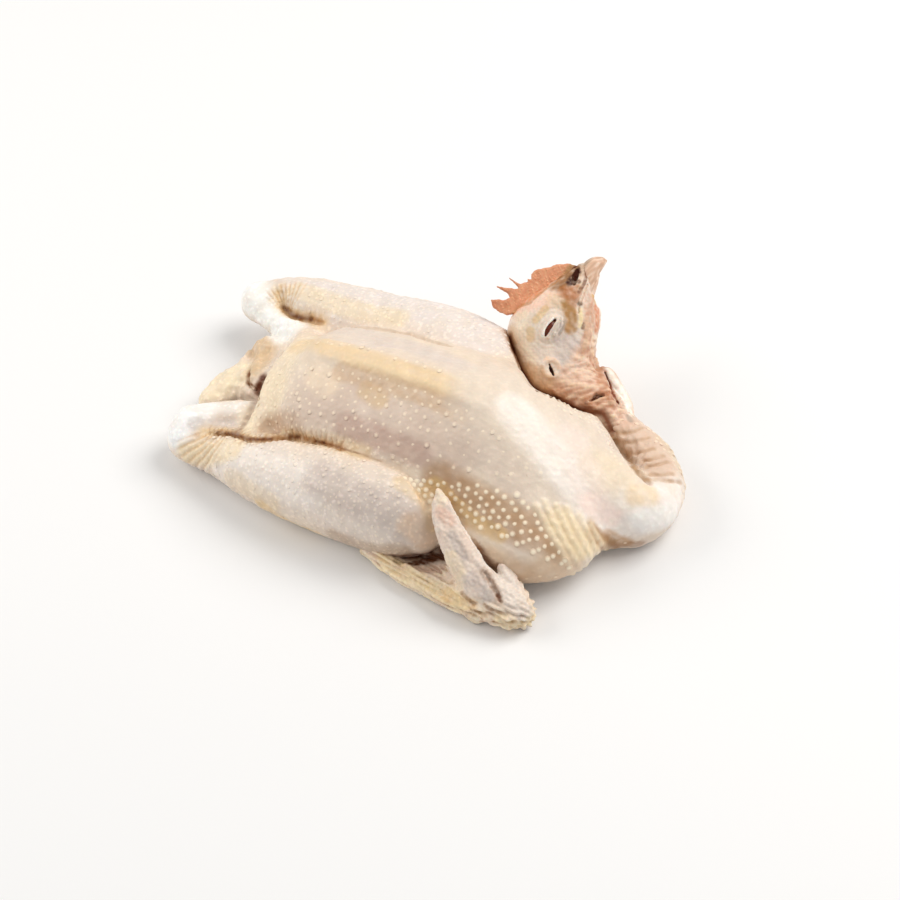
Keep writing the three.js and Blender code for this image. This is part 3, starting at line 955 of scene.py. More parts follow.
def hock_fans(points):
    """Wrinkles that spread from the fork of each leg at the hock, from -1 to 1."""
    near = fan(points, MARKS["near fork"], 50, 8, 36, 197, 240, 13)
    return near + 1.1 * fan(points, MARKS["far fork"], 44, 6, 22, 60, 135, 14)


def crease_strokes(points):
    """The short wrinkles across the crease of the near leg, from -1 to 1."""
    return pleats(points, MARKS["near crease"], 3.0, 6.5, 11)


def rim_teeth(points):
    """The small uneven bumps along the shoulder's edge, under the head and the neck, from -1 to 1."""
    gap, at = nearest(MARKS["shoulder edge"], points)
    on_edge = gap < 6
    on_edge[on_edge] = trunk_form.distance(points[on_edge]) < 0.8
    wave = np.cos(2 * math.pi * at / 3.3 + 2.4 * wander(points, 9, 18))
    return on_edge * wave * np.exp(-((gap / 2.6) ** 2)) * np.clip(0.75 + 0.5 * wander(points, 6, 19), 0.3, 1)


def breast_ridges(points):
    """The long ridges of skin before the crop, from 0 between them to 1."""
    lines = np.vstack(MARKS["ridges"])
    close = ((points > lines.min(0) - 5) & (points < lines.max(0) + 5)).all(1)
    share = np.zeros(len(points))
    least = np.min([nearest(row, points[close])[0] for row in MARKS["ridges"]], axis=0)
    share[close] = np.exp(-((least / 1.7) ** 2))
    return share


def body_relief(points):
    neck_gap, neck_at = nearest(NECK_RINGS, points)
    rings = np.cos(2 * math.pi * neck_at / 4.4 + 2.2 * wander(points, 11, 31))
    ring_share = window(neck_gap, -1, 21, 5) * window(neck_at, -4, 22, 7) * (points[:, 0] > 84)
    throat_share = np.exp(-((nearest(MARKS["throat"], points)[0] / 9) ** 2))
    out_of_crease = 1 - np.exp(-((nearest(MARKS["near crease"], points)[0] / 1.6) ** 2))
    out_of_slit = 1 - np.exp(-((nearest(MARKS["far slit"], points)[0] / 1.6) ** 2))
    relief = 0.32 * wander(points, 22, 1) + 0.14 * wander(points, 7, 2) + 0.09 * wander(points, 3.2, 3)
    relief += 0.34 * crease_strokes(points) * out_of_crease
    relief += 0.3 * pleats(points, MARKS["far slit"], 2.8, 6, 12) * out_of_slit
    relief += 0.34 * hock_fans(points)
    relief += 0.8 * rim_teeth(points)
    relief += 0.95 * breast_ridges(points) * (0.85 + 0.25 * wander(points, 3.4, 17))
    relief += 0.7 * np.exp(-((nearest(MARKS["keel"], points)[0] / 3.2) ** 2))
    relief += 0.4 * (points[:, 0] < -98) * window(points[:, 1], -14, 34, 8) * wander(points, 5, 16)
    relief += 0.25 * rings * ring_share
    relief += 0.5 * throat_share * streaks(points, (0.8, -0.5, -0.3), 3.2, 3, 15)
    return relief


def forearm_folds(points):
    """The long thin folds of the skin web, from -1 to 1."""
    return streaks(points, (1, -0.16, 0.05), 3.1, 8, 21)


def wing_relief(points):
    forearm = forearm_folds(points)
    hand = streaks(points, (0.68, -0.34, -0.65), 3.0, 3, 22)
    share = clamped((points[:, 2] - 12) / 8)
    relief = 1.2 * forearm * (1 - share) + 0.25 * hand * share
    return relief + 0.15 * wander(points, 2.4, 23) + 0.15 * wander(points, 9, 24)


def on_head(points):
    """Head coordinates of points, with the far cheek folded onto the near one."""
    local = (points - HEAD_AT) @ HEAD_AXES.T / HEAD_SCALE
    local[:, 2] = np.abs(local[:, 2])
    return local


def throat_folds(local):
    """Soft folds of the throat along its own way, from -1 to 1."""
    return streaks(local, (0.8, -0.6, 0), 4.0, 3.5, 43) * clamped((-local[:, 1] - 14) / 8)


def head_relief(points):
    local = on_head(points)
    around = np.sqrt(((local[:, 0] - EYE_AT[0]) / 1.25) ** 2 + (local[:, 1] - EYE_AT[1] + 0.6) ** 2)
    rings = -0.32 * window(around, 6.4, 7.4, 1.2) - 0.2 * window(around, 8.6, 9.4, 1.4)
    throat = clamped((-local[:, 1] - 14) / 10)
    front = clamped((local[:, 0] - 14) / 8)
    relief = rings * (local[:, 2] > 4) + 0.10 * wander(local, 5, 41) + 0.07 * wander(local, 2.2, 42)
    relief += 0.35 * throat_folds(local) + 0.12 * throat * streaks(local, (0.7, -0.7, 0), 2.3, 3, 46)
    relief += 0.1 * front * streaks(local, (0.9, -0.4, 0), 2.4, 3, 44)
    cord = nearest(GULLET_LINE, points)[0]
    return relief * np.clip((cord - 3.2) / 1.5, 0.08, 1)


def comb_relief(points):
    return 0.07 * wander(points, 1.9, 51) + 0.22 * wander(points, 5, 52)


def beak_relief(points):
    return 0.07 * streaks(on_head(points), (1, -0.1, 0), 1.5, 8, 61)


def far_wing_relief(points):
    return 0.35 * streaks(points, (1, 0.1, 0), 3.6, 4, 71) + 0.2 * wander(points, 3, 72)


def no_relief(points):
    return np.zeros(len(points))


# Colour


def linear(code):
    """Linear colour from an sRGB hex value."""
    srgb = np.array([int(code[i : i + 2], 16) for i in (0, 2, 4)]) / 255
    return np.where(srgb <= 0.04045, srgb / 12.92, ((srgb + 0.055) / 1.055) ** 2.4)


def paint(piece, colours, pebbled):
    """Stores a linear colour and a share of goose flesh at each vertex."""
    layer = piece.data.color_attributes.new("paint", "FLOAT_COLOR", "POINT")
    rgba = np.column_stack([clamped(colours), np.ones(len(colours))])
    layer.data.foreach_set("color", rgba.astype(np.float32).ravel())
    goose = piece.data.attributes.new("goose", "FLOAT", "POINT")
    goose.data.foreach_set("value", (np.zeros(len(colours)) + pebbled).astype(np.float32))


# Forms, their marks and their skins

body_form = body()
legs_form = legs()
trunk_form = trunk()
near_wing_form = near_wing()
head_own = bare_head()
head_form = head()
shown = join(0.1, body_form, near_wing_form, head_form, on_bird(limb(BEAK)))
MARKS = {
    "ridges": [seen(body_form, row) for row in TRACT_RIDGES],
    "keel": seen(body_form, KEEL_LINE),
    "near crease": seen(body_form, NEAR_CREASE[:13]),
    "far slit": seen(body_form, FAR_SLIT),
    "near fork": seen(body_form, [NEAR_HOCK_FORK])[0],
    "far fork": seen(body_form, [FAR_HOCK_FORK])[0],
    "throat": seen(body_form, THROAT_WAY),
    "shoulder edge": seen(body_form, SHOULDER_EDGE),
}
SKINS = [  # name, form, cell in millimetres, most triangles and relief
    ("body", body_form, 0.75, 195000, body_relief),
    ("near_wing", near_wing_form, 0.6, 90000, wing_relief),
    ("far_wing", far_wing(), 0.9, 40000, far_wing_relief),
    ("head", head_form, 0.55, 120000, head_relief),
    ("comb", comb(), 0.5, 50000, comb_relief),
    ("beak", beak(), 0.45, 40000, beak_relief),
    ("eyes", eye(), 0.6, 10000, no_relief),
]
skins = {name: skin_piece(name, *rest) for name, *rest in SKINS}
body_skin = skins["body"]

# Colours of the skin, as pixel points, reach in millimetres, sRGB and strength

BARE_SKIN = "E8D7C8"
PATCHES = [
    ([(290, 300), (340, 298), (400, 303), (450, 315), (490, 335)], 18, "ECE3DF", 0.8),  # far leg
    ([(296, 290), (320, 298), (360, 312), (400, 318)], 7, "F2DDB6", 0.6),
    ([(250, 292), (262, 305), (285, 325)], 14, "FFFFFC", 1.0),  # far hock
    ([(230, 455), (280, 475), (340, 500), (390, 510)], 22, "E8DCD2", 0.8),  # near leg
    ([(225, 458), (262, 472), (305, 486)], 14, "F8EEE6", 0.85),
    ([(320, 478), (350, 498), (392, 512), (412, 530)], 12, "CEBFB7", 0.75),
    ([(338, 538), (370, 550), (400, 552)], 9, "BEA48C", 0.75),
    ([(232, 480), (270, 502)], 8, "E8CEA4", 0.45),
    ([(262, 506), (290, 522), (318, 536)], 6, "F0CC90", 0.65),
    ([(410, 525), (425, 540)], 8, "E4C6AA", 0.7),
    ([(400, 482), (425, 503), (433, 525)], 5, "E3C79A", 0.6),
    ([(174, 430), (182, 416), (196, 408)], 13, "FFFFFF", 1.0),  # near hock and shank
    ([(196, 406), (215, 406), (250, 407)], 6, "FAF4EE", 0.8),
    # painted shade on the lower side of the near shank
    ([(195, 424), (225, 425), (248, 425)], 5, "CFC4BE", 0.7),
    ([(186, 455), (208, 454), (232, 448)], 8, "F4DDB4", 0.7),
    ([(296, 345), (280, 372), (270, 395), (257, 415)], 15, "F7E4C6", 0.9),  # flap of the belly
    ([(198, 396), (212, 386), (226, 378), (240, 372)], 12, "F7E6C8", 0.95),  # tail
    ([(256, 345), (264, 352), (256, 366)], 9, "D9BA92", 0.85),
    # painted shade on the belly just above the near crease
    ([(292, 424), (270, 428)], 9, "C7A588", 0.8),
    ([(310, 400), (350, 405), (400, 425), (450, 445)], 18, "D5BFAF", 0.85),  # near breast
    ([(316, 374), (326, 384)], 9, "F8E2C6", 0.6),
    ([(345, 425), (385, 440), (420, 455)], 8, "C2A294", 0.7),
    ([(366, 390), (380, 400)], 6, "DDBB88", 0.6),
    # keel fat
    ([(298, 345), (330, 347), (360, 357), (400, 370), (440, 383), (470, 393)], 7.5, "F0D4AA", 0.85),
    # a painted highlight along the keel's ridge
    ([(300, 352), (350, 361), (400, 374), (445, 390)], 3, "F4DAB2", 0.7),
    # the fat's yellow, darkened with painted shade below the keel's ridge
    ([(340, 372), (362, 376), (390, 385), (432, 398), (462, 414)], 6, "D2AB80", 0.55),
    ([(340, 330), (400, 345), (460, 365)], 10, "E2D3C8", 0.8),
    ([(500, 390), (540, 430), (570, 480), (590, 515)], 30, "ECDDCC", 0.9),  # front slope
    # painted shade on the near breast below the front slope's edge, and painted light on the slope beside it
    ([(455, 412), (490, 448), (516, 482)], 10, "DCC9B8", 0.45),
    ([(515, 410), (545, 446), (575, 485), (592, 503)], 12, "FCF4EC", 0.8),
    ([(600, 468), (622, 490)], 13, "F0DDC0", 0.7),
    ([(572, 440), (590, 495)], 12, "FBE8DE", 0.5),
    ([(470, 562), (520, 576), (565, 570)], 12, "DFBF9E", 0.8),
    ([(440, 480), (480, 505), (520, 525), (560, 542)], 12, "B8926E", 0.9),  # ground of the follicles
    ([(424, 492), (436, 484), (452, 502), (470, 520), (500, 535)], 5, "DDB87C", 0.65),
    ([(560, 522), (580, 545), (592, 540)], 9, "EDD4A8", 0.9),
    ([(620, 520), (650, 508), (672, 498)], 16, "FDF4EE", 0.85),  # crop end of the neck
    ([(590, 503), (604, 512), (612, 516)], 7, "FFE6DA", 0.8),
    # painted shade in the fold under the crop
    ([(606, 537), (616, 540), (626, 543)], 5, "C89A68", 0.8),
    # a painted highlight on the crop's bulge
    ([(642, 520), (656, 522), (672, 512)], 8, "FFFBF6", 0.8),
    ([(636, 494), (650, 494)], 7, "F6DAB2", 0.7),
    ([(660, 462), (645, 440), (628, 418)], 13, "E4C6B0", 0.85),  # neck
    ([(612, 402), (626, 420)], 6, "E6BCA4", 0.6),
    ([(662, 440), (684, 482)], 5, "E2CBAC", 0.6),
    ([(555, 392), (575, 400), (595, 402), (606, 385), (600, 362)], 10, "C4906E", 0.8),  # throat
    ([(607, 372), (614, 382), (621, 393), (628, 406), (630, 412)], 3.4, "FFF8EE", 1.0),  # white cord
    ([(629, 417), (631, 420)], 2.2, "A99C8E", 0.8),
    ([(605, 372), (608.5, 382), (612, 393), (618, 403)], 1.4, "A0482C", 0.85),
    # red-brown flesh round the throat's cut, darkened with painted shade inside the cut
    ([(588, 401), (597, 396), (605, 396), (612, 404)], 3.6, "B87C58", 0.6),
    ([(594, 398.5), (599, 396), (603, 395)], 1.9, "4C2212", 1.0),
    ([(586, 403), (594, 399)], 1.2, "7A4430", 0.8),
    ([(604, 398), (609, 403)], 1.0, "A08C7C", 0.7),
    # painted shade in the gap behind the wing's hand
    ([(480, 550), (487, 559), (494, 567), (501, 568)], 3.0, "6E3E1E", 0.85),  # behind the hand of the wing
    ([(474, 541), (480, 549)], 1.8, "9A6A42", 0.7),
    # painted shade under the knee
    ([(392, 560), (410, 561), (428, 557), (440, 552)], 4.0, "7A3A1E", 0.8),  # under the knee
    # painted shade in the fold before the crop and along its foot
    ([(592, 534), (602, 542), (612, 548)], 5, "B58A62", 0.8),  # fold before the crop
    ([(603, 546), (618, 546), (640, 544)], 3.5, "9C6A44", 0.6),
]
HEAD_PATCHES = [
    ([(545, 350), (565, 345), (540, 325)], 16, "DDCEC0", 0.9),  # cheek
    ([(522, 310), (535, 302), (550, 296)], 7, "F2CBB6", 0.8),
    ([(520, 320), (518, 345), (530, 368)], 7, "EAD7BE", 0.8),
    ([(530, 372), (545, 382)], 6, "CBA37E", 0.75),
    ([(553, 300), (561, 302)], 5, "E3C9A8", 0.6),
    ([(562, 335), (572, 348), (566, 360)], 8, "CBBDB5", 0.8),  # grey cheek
    ([(575, 375), (590, 380), (585, 360)], 9, "EBC7AE", 0.8),
    ([(568, 303), (571, 318), (570, 327)], 4.5, "B4854E", 0.95),  # ochre corner of the mouth
    ([(567, 290), (574, 300)], 4.5, "B9886A", 0.8),
    ([(580, 310), (581.5, 318), (580, 326)], 1.5, "F2DDB0", 0.95),
    ([(579, 303.5), (581, 304)], 1.4, "6B5440", 0.9),
    ([(582.5, 328), (584, 324)], 1.2, "7A5A3C", 0.8),
    ([(590, 300), (591, 325), (588, 345), (592, 360)], 4.5, "CE9C80", 0.85),  # jaw
    ([(600, 372), (603, 384), (607, 396)], 4, "C98E6C", 0.75),
    ([(597, 308), (598, 318), (597, 330)], 2.6, "D2845F", 0.9),
    ([(592, 330), (594, 345), (592, 358)], 1.5, "F0D3B4", 0.7),
    ([(587, 318), (588, 335), (584, 352)], 1.5, "EFCDAE", 0.6),
    ([(593, 295), (596, 303)], 1.6, "D2A45E", 0.7),
    ([(512, 311), (523, 302), (535, 294), (547, 284), (559, 275)], 5.0, "DC976F", 1.0),  # foot of the comb
    ([(558, 284), (565, 277), (573, 270), (581, 269)], 6.0, "96683E", 0.95),  # round the nostril
    ([(563, 287), (568, 285)], 2.2, "8A5826", 0.7),
    ([(564, 292), (571, 294), (577, 290)], 4.0, "B87848", 0.85),
    # painted shade in the nostril's hollow
    ([(570, 282), (575, 276), (580, 270)], 2.6, "3C1406", 1.0),
    ([(574, 284.5), (579, 281.5)], 1.5, "6E3A12", 0.95),
    ([(586, 283), (588, 290), (586, 300)], 3.2, "EED6C4", 0.9),
    ([(582, 267), (583, 273), (581.5, 279)], 1.2, "DCC0A8", 0.8),
    ([(582, 284), (579, 289)], 1.1, "DDBF9E", 0.8),
    ([(586, 268), (586.5, 276), (584, 284), (579, 292)], 1.2, "7E5034", 0.9),
    ([(510, 312), (519, 307), (530, 303), (537, 296), (549, 287), (558, 281)], 1.5, "BC8656", 0.7),
]
EYE_PATCHES = [  # u and v on the cheek, both cheeks
    ([(-2.6, 2.3), (0.6, 3.0), (4.5, 3.3), (8.0, 3.0)], 1.1, "FFFCF6", 0.95),
    ([(-1, -2.0), (4, -1.2), (9, -0.6)], 1.3, "D9CCBE", 0.8),
    ([(3.5, -4.2), (7, -4.0), (10, -2.6)], 1.2, "A09488", 0.7),
    ([(-4, 9.0), (-7, 6.5)], 2.8, "D9BC90", 0.7),
    ([(2, 10.2), (10, 9.4)], 2.4, "E2BF86", 0.6),
    # painted shade in the eye's slit and in the ear's slit
    ([(-2.0, 1.1), (0.6, 1.8), (4.5, 2.1), (8.6, 2.0)], 1.0, "5A3018", 1.0),
    ([(-12.2, -9.2), (-14.0, -11.9), (-15.6, -14.4)], 1.3, "5A2416", 1.0),
    ([(-11, -6.6), (-9, -10), (-10.4, -14)], 2.0, "EBC9AE", 0.7),
    ([(-16, -7), (-18.2, -11), (-18, -15)], 1.6, "C9A27C", 0.6),
]


def evenly(code, points):
    return np.tile(linear(code), (len(points), 1))


def mixed(colours, *layers):
    """Colours below layers, each an sRGB value and its share at each point."""
    for code, share in layers:
        colours = colours + share[:, None] * (linear(code) - colours)
    return colours


def reached(points, path, reach):
    """A patch's share at each point: whole in the middle, none beyond its reach."""
    low, high = path.min(0) - reach, path.max(0) + reach
    share = np.zeros(len(points))
    close = ((points > low) & (points < high)).all(1)
    if close.any():
        gap = nearest(path, points[close])[0]
        share[close] = clamped(1.35 * (1 - (gap / reach) ** 2))
    return share


def faded(points, path, reach):
    """A crease's share at each point: whole on its line, falling evenly to none at its reach."""
    return clamped(1.25 * (1 - nearest(path, points)[0] / reach))


def blotched(colours, points, paths, spread, least, seed):
    """Colours below patches with uneven edges. Each path has its own seed, counted on from the first."""
    for number, (path, reach, code, strength) in enumerate(paths):
        rough = 0.9 + spread * wander(points, max(reach * 0.8, least), seed + number)
        colours = mixed(colours, (code, strength * clamped(reached(points, path, reach) * rough)))
    return colours


def seen_on(form, patches):
    """The patches with their pixel points carried to the flesh."""
    return [(seen(form, pixels), *rest) for pixels, *rest in patches]


UNDER_HEAD = [(510, 338), (514, 354), (521, 371), (531, 386), (541, 394), (556, 400)]
# Painted shade where the head and the throat lie on the shoulder, laid on both the body and the head.
CONTACT = [  # where the head and the throat lie on the shoulder: pixel points, reach, sRGB, strength
    (UNDER_HEAD, 8.5, "C49666", 0.9),
    (UNDER_HEAD, 4.2, "5E2C12", 1.0),
    ([(556, 400), (568, 404), (578, 409), (590, 411), (603, 413), (612, 430)], 3.2, "7E4626", 0.95),
]
# From the trunk's wall behind the vent to the skin round it, point by point.
VENT_WALLS = np.hstack([seen(trunk_form, VENT_HOLE), seen(body_form, VENT_HOLE)]).reshape(-1, 3)
# Painted shade in and beside the creases, slits and folds: dark in the valleys, with a broad yellow-brown
# band of shade on the skin beside the deeper ones.
CREASE_SHADES = [
    (NEAR_CREASE[:14], 7.0, "E2C496", 0.7),
    (NEAR_CREASE[1:13], 2.6, "A87440", 0.75),
    (NEAR_CREASE[1:4], 1.6, "5C2C0E", 1.0),
    (NEAR_CREASE[3:7], 1.3, "6A3812", 0.95),
    (NEAR_CREASE[7:9], 1.6, "5C2C0E", 1.0),
    (NEAR_CREASE[10:12], 1.2, "5C2C0E", 1.0),
    (NEAR_CREASE[11:15], 0.8, "8A5A34", 0.8),
    (NEAR_CREASE[13:], 2.5, "CDB294", 0.5),
    (FAR_SLIT, 8.0, "E4C088", 0.8),
    (FAR_SLIT[1:], 3.2, "A06C34", 0.9),
    (FAR_SLIT[1:5], 1.9, "64340E", 0.95),
    (FAR_CREASE, 2.2, "C4AA90", 0.6),
    (FLAP_SHADE, 3.2, "A88C78", 0.7),
    (NECK_CREASE, 3.4, "A07446", 0.8),
    (CROP_CREASE, 3.4, "A87C4C", 0.75),
]
CREASE_SHADE_PATHS = seen_on(body_form, CREASE_SHADES)
# Inside the vent, red-brown flesh darkened with painted shade; painted shade in the vent's fold and in the
# neck's wrinkles.
CREASE_SHADE_PATHS += [(VENT_WALLS, 4.0, "8A5020", 0.8), (VENT_WALLS, 3.2, "5E2800", 1.0)]
CREASE_SHADE_PATHS += seen_on(body_form, [(VENT_FOLD, 1.6, "80480C", 0.95)])
CREASE_SHADE_PATHS += seen_on(body_form, [(row, 1.8, "C29C78", 0.7) for row in NECK_WRINKLES])
WING_PATCHES = [
    ([(402, 566), (422, 569), (440, 570)], 4.0, "D0B09C", 0.85),
    # painted shade in and beside the gap between the thumb and the hand
    (THUMB_GAP, 3.0, "B49884", 0.9),
    (THUMB_GAP[3:], 1.4, "8A5A3E", 0.9),
    # painted shade in the pocket under the knee
    (POCKET, 2.4, "5E3418", 1.0),
    (HAND_HOLE, 1.2, "8A7A72", 0.9),
    ([(452, 536), (458, 546), (464, 556)], 3.0, "BEB2AC", 0.6),
    ([(470, 577), (482, 588), (488, 597)], 4.0, "CABEB8", 0.6),
    ([(452, 505), (462, 522), (476, 545), (488, 566)], 2.6, "F8F1EA", 0.85),
    ([(438, 490), (441, 500)], 4.0, "F2DFC4", 0.8),
    ([(440, 512), (450, 520)], 4.0, "E4B8A2", 0.6),
    ([(450, 558), (458, 572), (456, 590)], 5.0, "F0DAB4", 0.5),
    ([(446, 594), (470, 605)], 4.5, "E6BC82", 0.6),
    ([(505, 575), (515, 600), (528, 615)], 6.0, "E9DDD2", 0.8),
    ([(500, 620), (520, 626), (532, 618)], 4.0, "E6CFA6", 0.7),
    ([(384, 560), (420, 582), (460, 603)], 6.0, "F3DCAC", 0.6),
    # painted shade in the web's furrows
    *[(row, 1.4, "A27850", 0.7) for row in WEB_FURROWS],
]
WING_PATHS = seen_on(near_wing_form, WING_PATCHES)
# The pocket's shade lies below the pocket's edge, the fourth of the patches.
WING_PATHS.insert(3, (np.array(POCKET_SHADE_FILLER)[:, :3] + (0, -2, 3), 10.0, "5A3014", 1.0))
SKIN_PATHS = seen_on(shown, PATCHES)
HEAD_PATHS = seen_on(shown, HEAD_PATCHES)
SHOULDER_SHADE_PATHS = seen_on(body_form, CONTACT)
HEAD_SHADE_PATHS = seen_on(head_form, CONTACT)
EYE_PATHS = []
for marks, *rest in EYE_PATCHES:
    EYE_PATHS.append((on_cheek(head_own, [(u, v, 1) for u, v in marks])[:, :3], *rest))


def goose_share(points):
    """How strongly the skin is pebbled: fully on the legs and the flap, faintly on the breast."""
    on_leg = clamped(1.3 - legs_form.distance(points) / 5) * np.clip((points[:, 0] + 118) / 14, 0.15, 1)
    rear = window(points[:, 0], -200, -62, 16) * window(points[:, 2], -20, 52, 14)
    return 0.25 + 0.75 * np.maximum(on_leg, 0.8 * rear)


def skin_tones(points):
    """Linear colours of the skin at these points, with painted shade in its creases and wrinkle valleys."""
    mottle = 0.5 + 0.5 * wander(points, 26, 81)
    colours = mixed(evenly(BARE_SKIN, points), ("F3E0C6", 0.5 * mottle))
    colours = blotched(colours, points, SKIN_PATHS, 0.2, 4, 100)
    rough = 0.95 + 0.35 * wander(points, 5, 90)
    # painted shade along the creases
    for path, reach, code, strength in CREASE_SHADE_PATHS:
        colours = mixed(colours, (code, strength * clamped(faded(points, path, reach) * rough)))
    colours = mixed(
        colours,
        # painted shade in the valleys of the hock's fans
        ("D2A468", 0.55 * clamped(-hock_fans(points) - 0.1)),
        ("FDEBCB", 0.8 * breast_ridges(points)),
        # painted shade in the valleys of the pleats across the near crease
        ("A06A38", 0.8 * clamped(-crease_strokes(points) - 0.25)),
        ("FFF3DC", 0.7 * clamped(rim_teeth(points))),
    )
    return colours * (1 + 0.02 * wander(points, 2.6, 82) + 0.03 * wander(points, 9, 83))[:, None]


def body_tones(points):
    """The skin's colours, with painted shade where the head lies on the shoulder."""
    gap = np.full(len(points), 9.0)
    near_head = ((points > head_form.low - 6) & (points < head_form.high + 6)).all(1)
    near_head[near_head] = trunk_form.distance(points[near_head]) < 0.8
    gap[near_head] = np.abs(head_form.distance(points[near_head]))
    # painted shade on the trunk's skin within a few millimetres of the head, and along the lines where the
    # head and the throat lie on it
    colours = mixed(skin_tones(points), ("8A5A38", 0.8 * clamped(1.2 - gap / 2.2)))
    for path, reach, code, strength in SHOULDER_SHADE_PATHS:
        colours = mixed(colours, (code, strength * clamped((6 - gap) / 3) * faded(points, path, reach)))
    return colours


def head_tones(points):
    """Linear colours of the head, with the far cheek like the near one, painted highlight and shade on the
    throat's folds, and painted shade under the head.
    """
    local = on_head(points)
    folded = local * HEAD_SCALE @ HEAD_AXES + HEAD_AT
    colours = blotched(skin_tones(folded), folded, HEAD_PATHS, 0.3, 2, 200)
    for path, reach, code, strength in EYE_PATHS:
        colours = mixed(colours, (code, strength * reached(local, path, reach)))
    off_cord = clamped((nearest(GULLET_LINE, points)[0] - 3.6) / 1.5)
    wide = throat_folds(local) * off_cord
    fine = streaks(local, (0.7, -0.7, 0), 2.3, 3, 46) * clamped((-local[:, 1] - 15) / 6) * off_cord
    # painted highlight on the tops of the throat's folds and painted shade in their hollows
    colours = mixed(
        colours,
        ("F0D6B4", 0.45 * clamped(wide)),
        ("B07450", 0.45 * clamped(-wide)),
        ("F6DCC4", 0.35 * clamped(fine - 0.15)),
        ("A45E3C", 0.4 * clamped(-fine - 0.15)),
    )
    # painted shade on the head's underside where it lies on the shoulder
    for path, reach, code, strength in HEAD_SHADE_PATHS:
        colours = mixed(colours, (code, strength * faded(points, path, reach)))
    return colours * (1 + 0.06 * wander(points, 1.8, 84))[:, None]


def wing_tones(points):
    low = clamped((20 - points[:, 2]) / 12)
    ripples = forearm_folds(points)
    colours = mixed(
        evenly("EAD9CB", points),
        ("FFE9C2", 0.9 * low * (0.6 + 0.4 * streaks(points, (1, 0, 0), 5, 3, 85))),
        # painted shade in the valleys of the forearm's folds, and painted highlight on their tops
        ("A8763E", 0.9 * low * clamped(-1.8 * ripples - 0.2)),
        ("FFF2D4", 0.7 * low * clamped(1.6 * ripples - 0.3)),
        ("E8CAB6", 0.4 * clamped(wander(points, 12, 86))),
        ("D6C8BE", 0.4 * clamped(wander(points, 8, 87) - 0.15)),
    )
    colours = blotched(colours, points, WING_PATHS, 0.4, 2, 300)
    return colours * (1 + 0.07 * wander(points, 1.9, 88))[:, None]


COMB_FOOT = ([0, 13, 21, 27], [21, 17, 14.7, 12])  # the line where the comb grows from the head: u, v


def comb_tones(points):
    local = on_head(points)
    u, v = local[:, 0], local[:, 1]
    nostril = np.array([(a, b, 0) for a, b, _ in NOSTRIL])
    return mixed(
        evenly("DF9B76", points),
        ("EAB98E", 0.6 * clamped(wander(points, 2.2, 91))),
        ("CC8660", 0.5 * clamped(wander(points, 5, 92))),
        ("B9704E", 0.4 * clamped((v - 24) / 8)),
        ("8F7658", 0.8 * (clamped((u - 28) / 6) * clamped((14 - v) / 4))),
        ("A8824C", 0.7 * clamped(1 - np.abs(v - np.interp(u, *COMB_FOOT)) / 2)),
        # painted shade in the nostril's hollow
        ("561E04", clamped(3.4 - nearest(nostril, local * (1, 1, 0))[0])),
    )


def beak_tones(points):
    local = on_head(points)
    lines = streaks(local, (1, -0.12, 0), 1.9, 30, 93)
    return mixed(
        evenly("DAB296", points),
        ("F6E2D0", 0.6 * clamped(-lines)),
        ("B89A84", 0.6 * clamped(lines)),
        ("A08C78", 0.7 * clamped((local[:, 1] - 4.5) / 2)),
        ("F2DFD0", 0.7 * clamped((36 - local[:, 0]) / 5)),
    )


TONES = {
    "body": body_tones,
    "near_wing": wing_tones,
    "far_wing": wing_tones,
    "head": head_tones,
    "comb": comb_tones,
    "beak": beak_tones,
}
PEBBLED = {"near_wing": 0.4, "far_wing": 0.4, "head": 0.6, "comb": 1.0, "beak": 1.0}
for name, tones in TONES.items():
    points = points_of(skins[name])
    paint(skins[name], tones(points), PEBBLED[name] if name in PEBBLED else goose_share(points))

# Materials


def add_node(tree, kind, settings=()):
    """Adds a node: each setting is a property, an input's value, or a socket to link to the input."""
    node = tree.nodes.new(kind)
    for key, value in dict(settings).items():
        if isinstance(value, bpy.types.NodeSocket):
            tree.links.new(value, node.inputs[key])
        elif isinstance(key, str) and hasattr(node, key):
            setattr(node, key, value)
        else:
            node.inputs[key].default_value = value
    return node.outputs


def stored(tree, name, output):
    """A value that the mesh stores at its vertices."""
    return add_node(tree, "ShaderNodeAttribute", {"attribute_name": name})[output]


def ranged(tree, value, settings):
    return add_node(tree, "ShaderNodeMapRange", {**settings, "Value": value})["Result"]


def noise(tree, place, hills, detail):
    """Noise with its hills so many millimetres wide."""
    settings = {"Scale": 1 / (hills * MM), "Detail": detail, "Vector": place}
    return add_node(tree, "ShaderNodeTexNoise", settings)["Fac"]


def maths(tree, operation, *values, clamp=False):
    settings = {"operation": operation, "use_clamp": clamp, **dict(enumerate(values))}
    return add_node(tree, "ShaderNodeMath", settings)[0]


def vector_maths(tree, operation, *values):
    return add_node(tree, "ShaderNodeVectorMath", {"operation": operation, **dict(enumerate(values))})


def bump(tree, depth, settings):
    """A bump so many millimetres deep."""
    return add_node(tree, "ShaderNodeBump", {"Strength": 1.0, "Distance": depth * MM, **settings})["Normal"]


def new_material(name):
    material = bpy.data.materials.new(name)
    material.use_nodes = True
    material.node_tree.nodes.clear()
    return material


def surfaced(material, settings):
    """The material with one shader of these settings as its surface."""
    shader = add_node(material.node_tree, "ShaderNodeBsdfPrincipled", settings)
    add_node(material.node_tree, "ShaderNodeOutputMaterial", {"Surface": shader["BSDF"]})
    return material


